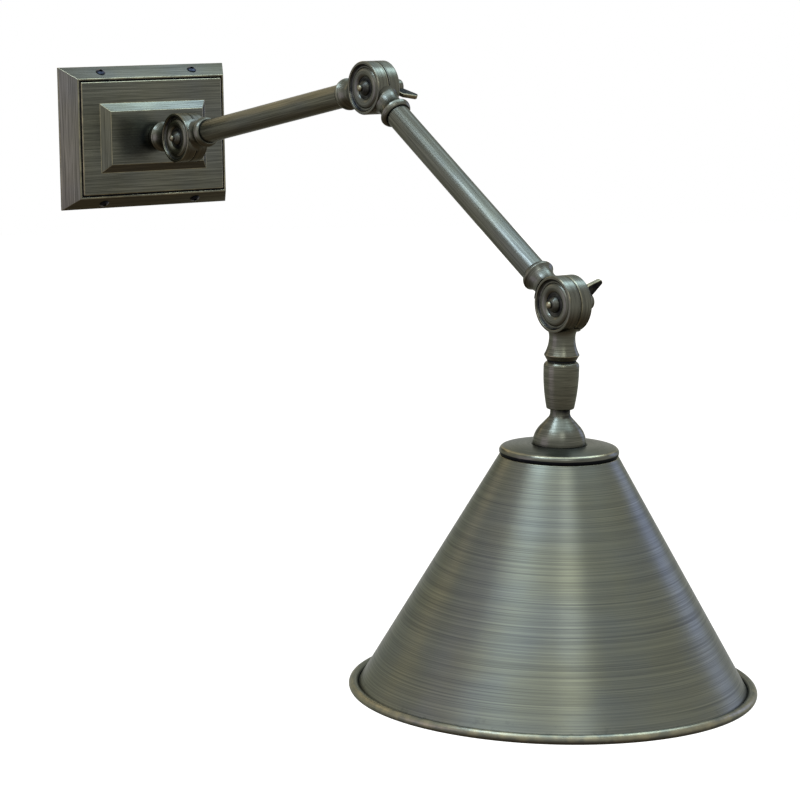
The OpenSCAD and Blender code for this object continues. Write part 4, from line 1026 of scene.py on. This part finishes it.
def build_stem(lamp):
    """The turned barrel and the dome under it."""
    n, h, z = millimetres(lamp.neck), millimetres(lamp.head), head_levels(lamp)
    hole = n.nipple_r + SEAT
    mid_r = h.barrel_r - h.shoulder
    barrel = (
        [(hole, z.bell), (h.groove_r, z.bell, 0, -0.9), (h.groove_r, z.groove, 0, -0.9)]
        + wear_and_sheen(arc(mid_r, z.shoulder, h.shoulder, -acos((h.groove_r - mid_r) / h.shoulder), 0), 0.35)
        + taper(h.barrel_r, z.taper, h.foot_r, z.foot, 20)
        + wear_and_sheen(arc(h.foot_r - h.foot_round, z.foot, h.foot_round, 0, pi / 2, 8)[1:], 0.7)
        + [(hole, z.barrel, 0, -0.8)])
    head_piece(lamp, "stem_barrel", turned(barrel, ring=True))
    inner_r, inner_h = h.dome_r - h.dome_wall, h.dome_h - h.dome_wall
    fillet = arc(h.throat_r + h.throat_fillet, z.throat, h.throat_fillet, pi, pi - z.slope, 8)
    dome = (
        # The throat under the barrel's foot is darkened with painted shade
        [(hole, z.barrel, 0, -0.7), (h.throat_r, z.barrel, 0, -0.7)]
        + even_wear_and_shade(fillet[:-1], -0.5) + fillet[-1:]
        + oval(0, z.dome_mid, h.dome_r, h.dome_h, -z.start, 0, 24)
        + [(h.dome_r, z.cap, 0.4), (inner_r, z.cap)]
        + oval(0, z.dome_mid, inner_r, inner_h, 0, -z.start)
        + [(hole, z.dome_mid - inner_h * sin(z.start))])
    head_piece(lamp, "stem_dome", turned(dome, ring=True))


def build_shade(lamp):
    """The cone shade with its rolled edge, and the crowned cap on it."""
    n, h, z = millimetres(lamp.neck), millimetres(lamp.head), head_levels(lamp)
    hole = n.nipple_r + SEAT
    land_r, edge_r = h.dome_r + h.dome_wall, h.cap_r - h.cap_round
    crown_w = edge_r - land_r
    crown_r = (crown_w ** 2 + h.cap_crown ** 2) / (2 * h.cap_crown)
    spread = asin(crown_w / crown_r)
    foot = asin(h.cap_skirt / h.cap_round)
    cap = (
        # The dark ring where the dome stands on the cap is painted shade
        [(hole, z.cap)] + even_wear_and_shade([(h.dome_r - 1, z.cap), (h.dome_r + 0.3, z.cap)], -0.8)
        + arc(land_r, z.cap + crown_r, crown_r, -pi / 2, spread - pi / 2)
        # The cap's upper shoulder is lightened with a painted highlight
        + wear_and_sheen(arc(edge_r, z.cap_edge, h.cap_round, spread - pi / 2, -pi / 5)[1:], 1)
        + arc(edge_r, z.cap_edge, h.cap_round, -pi / 5, 0)[1:]
        # The cap's edge below its widest place is darkened with painted shade
        + even_wear_and_shade(arc(edge_r, z.cap_edge, h.cap_round, 0, foot)[1:], -0.9)
        + arc(edge_r, z.cap_edge, h.cap_round - h.cap_wall, foot, spread - pi / 2)
        + arc(land_r, z.cap + crown_r, crown_r - h.cap_wall, spread - pi / 2, -pi / 2)
        + [(hole, z.cap + h.cap_wall)])
    head_piece(lamp, "shade_cap", turned(cap, WIDE_STEPS, ring=True))

    bead_mid_r = h.shade_d / 2 - h.bead_r
    # The sheet runs into the bead a quarter of its thickness inside the bead's outer side
    lap = h.bead_r - 0.26 * h.shade_wall
    angle = atan2(bead_mid_r - lap - h.shade_top_r, h.shade_h)
    down = Vector((sin(angle), cos(angle)))
    inward = Vector((-cos(angle), sin(angle)))
    middle = Vector((bead_mid_r, z.bead))
    depth = lap * cos(angle)
    foot = middle + inward * depth
    meet = foot - down * sqrt(h.bead_r ** 2 - depth ** 2)
    start = atan2(meet.y - middle.y, meet.x - middle.x)
    tail = foot + inward * (h.shade_wall + 0.001)
    top_in = Vector((h.shade_top_r + h.shade_wall * tan(angle) - h.shade_wall / cos(angle),
                     z.shade + h.shade_wall))
    rows = 12
    side = [Vector((h.shade_top_r, z.shade)).lerp(meet, (i + 1) / (rows + 1)) for i in range(rows)]
    # The rolled edge is lightest where it faces outward, partly rubbed metal and partly a painted highlight
    bead_steps, brightest = 40, 0.42
    bead = arc(middle.x, middle.y, h.bead_r, start, pi - angle, bead_steps)
    bead = [(r, t, 0, 0.8 * max(0, cos(2 * pi * (i / bead_steps - brightest))))
            for i, (r, t) in enumerate(bead)]
    shade = (
        [(hole, z.shade), (h.shade_top_r, z.shade, h.shade_edge)] + [(p.x, p.y) for p in side]
        # Painted shade in the crease where the sheet runs into the bead
        + [(meet.x - 0.35 * down.x, meet.y - 0.35 * down.y, 0, -0.2)]
        + even_wear_and_shade(bead[:3], -1) + bead[3:] + [(tail.x, tail.y, 0, -0.5), (top_in.x, top_in.y, 0.8),
                                             (hole, z.shade + h.shade_wall)])
    head_piece(lamp, "shade", turned(shade, WIDE_STEPS, ring=True), "spun antique bronze")


def threaded(radius, wall, low, high, b):
    """A thin shell with a rolled screw thread between two heights, cut off flat at both ends."""
    turns = int((high - low) / b.pitch) + 2
    rows = 8
    outside_line = [(radius - b.thread / 2 + b.thread / 2 * cos(2 * pi * i / rows),
                     low - 1.5 * b.pitch + b.pitch * i / rows) for i in range(turns * rows + 1)]
    bm = turned(outside_line, MIDDLE_STEPS, rise=b.pitch)
    for level, way in ((low, -1), (high, 1)):
        bmesh.ops.bisect_plane(bm, geom=bm.verts[:] + bm.edges[:] + bm.faces[:], plane_co=(0, 0, level),
                               plane_no=(0, 0, way), clear_outer=True)
    bmesh.ops.recalc_face_normals(bm, faces=bm.faces[:])
    bmesh.ops.solidify(bm, geom=bm.faces[:], thickness=wall)
    return bm


def build_holder(lamp):
    """The lampholder: brass cap, moulded body, centre contact and threaded screw shell."""
    n, b, z = millimetres(lamp.neck), millimetres(lamp.light), head_levels(lamp)
    hole = n.nipple_r + SEAT
    rounding = b.cap_h / 3
    mid_r, mid_z = b.cap_r - rounding, z.holder + rounding
    cap = ([(hole, z.holder)] + arc(mid_r, mid_z, rounding, -pi / 2, 0)
           + [(b.cap_r, z.holder_cap, 0.2), (b.cap_r - b.cap_wall, z.holder_cap)]
           + arc(mid_r, mid_z, rounding - b.cap_wall, 0, -pi / 2) + [(hole, z.holder + b.cap_wall)])
    head_piece(lamp, "lampholder_cap", turned(cap, ring=True), "lacquered brass")
    socket_r, floor_z = b.body_r - b.body_wall, z.socket - b.socket_floor
    # A shallow groove runs round the body near its mouth
    groove_z, groove_r = z.holder_end - 4, b.body_r - 0.5
    body = [(0, floor_z), (socket_r, floor_z), (socket_r, z.holder_cap), (b.body_r, z.holder_cap, 0.3),
            (b.body_r, groove_z - 1), (groove_r, groove_z - 0.4), (groove_r, groove_z + 0.4),
            (b.body_r, groove_z + 1), (b.body_r, z.holder_end, 0.8), (socket_r, z.holder_end, 0.4),
            (socket_r, z.socket), (0, z.socket)]
    head_piece(lamp, "lampholder_body", turned(body), "black phenolic")
    contact = [(0, z.socket), (b.contact_r, z.socket), (b.contact_r, z.socket + b.contact_t, 0.6),
               (0, z.socket + b.contact_t)]
    head_piece(lamp, "lampholder_contact", turned(contact, SMALL_STEPS), "lacquered brass")
    shell = threaded(b.shell_r, b.shell_wall, z.socket, z.shell_end, b)
    head_piece(lamp, "lampholder_shell", shell, "lacquered brass")


def build_bulb(lamp):
    """The bulb: a threaded base with its contact, and a frosted glass ball on a flared neck."""
    b, z = millimetres(lamp.light), head_levels(lamp)
    # Wall thickness of the base, its radius under the thread, and the plain band before the thread
    wall, core_r, band = 0.5, b.base_r - b.thread, 1.5
    shoulder_z, end_z = z.bulb + b.base_len / 8, z.bulb + b.base_len
    tip = turned([(0, z.bulb), (b.contact_r, z.bulb, 0.4), (core_r, shoulder_z, 0.8),
                  (core_r, shoulder_z + band), (core_r - wall, shoulder_z + band),
                  (core_r - wall, shoulder_z + wall), (0, z.bulb + b.contact_t)])
    base = joined(tip, threaded(b.base_r, wall, shoulder_z + 1, end_z, b))
    head_piece(lamp, "bulb_base", base, "aluminium")
    neck_r = b.base_r - wall - SEAT - b.thread
    neck_z, mid_z = end_z + b.base_len / 2.5, z.bulb + b.bulb_len - b.bulb_r
    rise = mid_z - neck_z
    flare_r = (neck_r ** 2 + rise ** 2 - b.bulb_r ** 2) / (2 * (b.bulb_r - neck_r))
    turn = atan2(rise, neck_r + flare_r)

    def skin(depth):
        return ([(neck_r - depth, end_z - b.base_len / 3)]
                + arc(neck_r + flare_r, neck_z, flare_r + depth, pi, pi - turn, 20)
                + arc(0, mid_z, b.bulb_r - depth, -turn, pi / 2, 40)[1:])

    glass = list(reversed(skin(b.glass))) + skin(0)
    head_piece(lamp, "bulb_glass", turned(glass), "frosted glass", "glass", "glass_bulb")


def dress_fittings():
    """Finishes for the parts that keep their CAD shape, nearly all of them inside the lamp."""
    for node in ("base_nipple", "swivel_nut", "stem_nipple", "stem_nut", "cap_spacer"):
        dress_node(node, "lacquered brass")
    for node in ("wall_bracket", "swivel_washer"):
        dress_node(node, "zinc-plated steel")
    dress_node("ground_screw", "green zinc plating")
    for node in ("friction_washer_1", "friction_washer_2", "friction_washer_3"):
        dress_node(node, "vulcanised fibre")
    for node in ("base_wire", "arm_1_wire", "arm_2_wire", "stem_wire"):
        dress_node(node, "lamp wire sleeve")


# ---- stage ----

def direction(azimuth, elevation):
    """The way from the lamp to a place round it; azimuth 0 is straight out of the wall, in degrees."""
    a, e = radians(azimuth), radians(elevation)
    return Vector((sin(a) * cos(e), -cos(a) * cos(e), sin(e)))


def soft_light(name, azimuth, elevation, distance, width, height, level, code):
    """A soft box that faces the lamp from a direction in degrees. Its distance and size are in metres, and
    its level is how bright it looks, where white paper is 1."""
    target = Vector((0, -0.32, -0.08))
    data = bpy.data.lights.new(name, "AREA")
    data.shape, data.size, data.size_y = "RECTANGLE", width, height
    data.energy = level * pi * width * height
    data.color = linear(code)
    obj = bpy.data.objects.new(name, data)
    bpy.context.scene.collection.objects.link(obj)
    way = direction(azimuth, elevation)
    obj.location = target + way * distance
    obj.rotation_euler = way.to_track_quat("Z", "Y").to_euler()
    obj.visible_camera = False


def seen_rays(tree):
    """1 on the rays that show the surround, straight or in metal or glass, and 0 on the light it gives."""
    path = add(tree, "LightPath").outputs
    shown = maths(tree, "MAXIMUM", path["Is Glossy Ray"], path["Is Transmission Ray"])
    return maths(tree, "MAXIMUM", path["Is Camera Ray"], shown)


def build_floor():
    """A pale floor that keeps the shadow in its middle and runs out into the white surround."""
    # In metres; the white sets in between these distances from the middle, which is under the lamp
    radius, height, fade_from, fade_to = 12, -0.9, 0.5, 1.4
    bm = bmesh.new()
    bmesh.ops.create_circle(bm, cap_ends=True, segments=MIDDLE_STEPS, radius=radius)
    mesh = bpy.data.meshes.new("floor")
    bm.to_mesh(mesh)
    bm.free()
    floor = bpy.data.objects.new("floor", mesh)
    bpy.context.scene.collection.objects.link(floor)
    floor.location = (0, -0.3, height)
    floor.visible_glossy = False
    mat, tree, shader = new_material("pale studio floor")
    tree.nodes.remove(shader)
    seen = seen_rays(tree)
    paint = add(tree, "BsdfDiffuse", {"Color": (*linear("#e4dfd4"), 1)})
    place = add(tree, "TexCoord").outputs["Object"]
    out = add(tree, "VectorMath", {0: place}, operation="LENGTH").outputs["Value"]
    fade = add(tree, "MapRange", {"Value": out, "From Min": fade_from, "From Max": fade_to, "To Min": 0.1,
                                  "To Max": 1}, interpolation_type="SMOOTHSTEP").outputs["Result"]
    glow = add(tree, "Emission", {"Strength": maths(tree, "MULTIPLY", seen, fade)})
    total = add(tree, "AddShader", {0: paint.outputs[0], 1: glow.outputs[0]})
    # From below the floor is clear, so that the lamp's underside can be looked at
    below = add(tree, "NewGeometry").outputs["Backfacing"]
    clear = add(tree, "BsdfTransparent")
    side = add(tree, "MixShader", {0: below, 1: total.outputs[0], 2: clear.outputs[0]})
    tree.links.new(side.outputs[0], tree.nodes["Material Output"].inputs["Surface"])
    mesh.materials.append(mat)


def build_surround(lamp):
    """A surround that is white at eye level and above, and a warm dark grey below."""
    world = bpy.data.worlds.new("studio")
    bpy.context.scene.world = world
    world.use_nodes = True
    tree = world.node_tree
    tree.nodes.clear()
    seen = seen_rays(tree)
    strength = add(tree, "Mix", {0: seen, 2: lamp.ambient, 3: 1.0}, data_type="FLOAT").outputs[0]
    way = add(tree, "TexCoord").outputs["Generated"]
    up = add(tree, "SeparateXYZ", {0: way}).outputs["Z"]
    tint = mixed(tree, remap(tree, up, -0.75, -0.1), (0.26, 0.2, 0.15), (1, 1, 1))
    back = add(tree, "Background", {"Color": tint, "Strength": strength})
    add(tree, "OutputWorld", {"Surface": back.outputs[0]})


def build_lights(lamp):
    """Broad soft boxes round the lamp, with small ones within them that draw the bright streaks."""
    soft_light("top_light", -10, 75, 1.2, 1.9, 0.75, lamp.top_level, "#cae4fa")
    soft_light("key_light", -56, 36, 1.3, 1.7, 0.5, lamp.key_level, "#eef2ff")
    soft_light("key_accent_light", -84, 62, 1.3, 0.4, 0.45, 2.4 * lamp.accent_level, "#cce0ff")
    soft_light("front_accent_light", -18, 34, 1.4, 0.4, 0.5, 0.7 * lamp.accent_level, "#f0f8f6")
    soft_light("rear_light", 110, 52, 1.5, 1.2, 0.6, lamp.rear_level, "#c4d8f6")
    soft_light("rear_accent_light", 82, 54, 1.5, 0.4, 0.6, 1.6 * lamp.accent_level, "#c0e0fa")
    soft_light("right_light", 88, 10, 1.6, 0.6, 0.8, 2.4 * lamp.side_level, "#a8b4ff")
    soft_light("left_light", -102, 0, 1.4, 0.9, 1.0, 0.8 * lamp.side_level, "#e4d0ff")
    soft_light("wall_light", 180, 26, 1.5, 1.6, 0.4, 0.8 * lamp.side_level, "#ffdcb0")


def build_camera():
    """The camera at the photograph's place, with its right, up and back as they were fitted to it."""
    scene = bpy.context.scene
    data = bpy.data.cameras.new("camera")
    data.sensor_width, data.lens = 36, 145.29
    camera = bpy.data.objects.new("camera", data)
    scene.collection.objects.link(camera)
    right = Vector((0.80284126, -0.59596577, -0.01645309))
    up = Vector((0.08668891, 0.08938835, 0.99221709))
    back_way = Vector((-0.58985671, -0.79801912, 0.12342828))
    turn = Matrix((right, up, back_way)).transposed().to_4x4()
    camera.matrix_world = Matrix.Translation((-1.24768, -1.99692, 0.0957)) @ turn
    scene.camera = camera
    scene.view_settings.view_transform = "Standard"


# ---- add-on ----

class WALLLAMP_OT_plate(bpy.types.Operator):
    """Builds the wall plate, its screws and the round spacer on its boss"""
    bl_idname = "walllamp.plate"
    bl_label = "Wall plate"

    def execute(self, context):
        lamp = context.scene.wall_lamp
        build_plate(lamp)
        build_screws(lamp)
        build_bush(lamp)
        return {"FINISHED"}


class WALLLAMP_OT_knuckles(bpy.types.Operator):
    """Builds the six knuckle halves with their necks"""
    bl_idname = "walllamp.knuckles"
    bl_label = "Knuckles"

    def execute(self, context):
        build_knuckles(context.scene.wall_lamp)
        return {"FINISHED"}


class WALLLAMP_OT_bolts(bpy.types.Operator):
    """Builds the three pivot bolts"""
    bl_idname = "walllamp.bolts"
    bl_label = "Pivot bolts"

    def execute(self, context):
        build_bolts(context.scene.wall_lamp)
        return {"FINISHED"}


class WALLLAMP_OT_levers(bpy.types.Operator):
    """Builds the three thumb levers and their washers"""
    bl_idname = "walllamp.levers"
    bl_label = "Thumb levers"

    def execute(self, context):
        build_levers(context.scene.wall_lamp)
        return {"FINISHED"}


class WALLLAMP_OT_tubes(bpy.types.Operator):
    """Builds the two arm tubes"""
    bl_idname = "walllamp.tubes"
    bl_label = "Arm tubes"

    def execute(self, context):
        build_tubes(context.scene.wall_lamp)
        return {"FINISHED"}


class WALLLAMP_OT_stem(bpy.types.Operator):
    """Builds the turned barrel and the dome"""
    bl_idname = "walllamp.stem"
    bl_label = "Lamp stem"

    def execute(self, context):
        build_stem(context.scene.wall_lamp)
        return {"FINISHED"}


class WALLLAMP_OT_shade(bpy.types.Operator):
    """Builds the shade and its cap"""
    bl_idname = "walllamp.shade"
    bl_label = "Shade"

    def execute(self, context):
        build_shade(context.scene.wall_lamp)
        return {"FINISHED"}


class WALLLAMP_OT_holder(bpy.types.Operator):
    """Builds the lampholder and the bulb"""
    bl_idname = "walllamp.holder"
    bl_label = "Lampholder and bulb"

    def execute(self, context):
        lamp = context.scene.wall_lamp
        build_holder(lamp)
        build_bulb(lamp)
        return {"FINISHED"}


class WALLLAMP_OT_fittings(bpy.types.Operator):
    """Finishes the bracket, nuts, nipples, washers and wires"""
    bl_idname = "walllamp.fittings"
    bl_label = "Inner fittings"

    def execute(self, context):
        dress_fittings()
        return {"FINISHED"}


class WALLLAMP_OT_stage(bpy.types.Operator):
    """Sets up the floor, the surround, the light and the camera"""
    bl_idname = "walllamp.stage"
    bl_label = "Stage"

    def execute(self, context):
        lamp = context.scene.wall_lamp
        build_floor()
        build_surround(lamp)
        build_lights(lamp)
        build_camera()
        return {"FINISHED"}


STEPS = (WALLLAMP_OT_stage, WALLLAMP_OT_plate, WALLLAMP_OT_knuckles, WALLLAMP_OT_bolts, WALLLAMP_OT_levers,
         WALLLAMP_OT_tubes, WALLLAMP_OT_stem, WALLLAMP_OT_shade, WALLLAMP_OT_holder, WALLLAMP_OT_fittings)


class WALLLAMP_PT_panel(bpy.types.Panel):
    bl_label = "Wall lamp"
    bl_idname = "WALLLAMP_PT_panel"
    bl_space_type = "VIEW_3D"
    bl_region_type = "UI"
    bl_category = "Wall lamp"

    def draw(self, context):
        for step in STEPS:
            self.layout.operator(step.bl_idname)
        for key in type(context.scene.wall_lamp.finish).__annotations__:
            self.layout.prop(context.scene.wall_lamp.finish, key)


CLASSES = (PlateSizes, KnuckleSizes, LeverSizes, NeckSizes, HeadSizes, LightSizes, LampFinish, LampSettings,
           *STEPS, WALLLAMP_PT_panel)


def register():
    for cls in CLASSES:
        bpy.utils.register_class(cls)
    bpy.types.Scene.wall_lamp = PointerProperty(type=LampSettings)


def unregister():
    del bpy.types.Scene.wall_lamp
    for cls in reversed(CLASSES):
        bpy.utils.unregister_class(cls)


def main():
    register()
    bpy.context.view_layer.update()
    for step in STEPS:
        group, name = step.bl_idname.split(".")
        getattr(getattr(bpy.ops, group), name)()


if __name__ == "__main__":
    main()
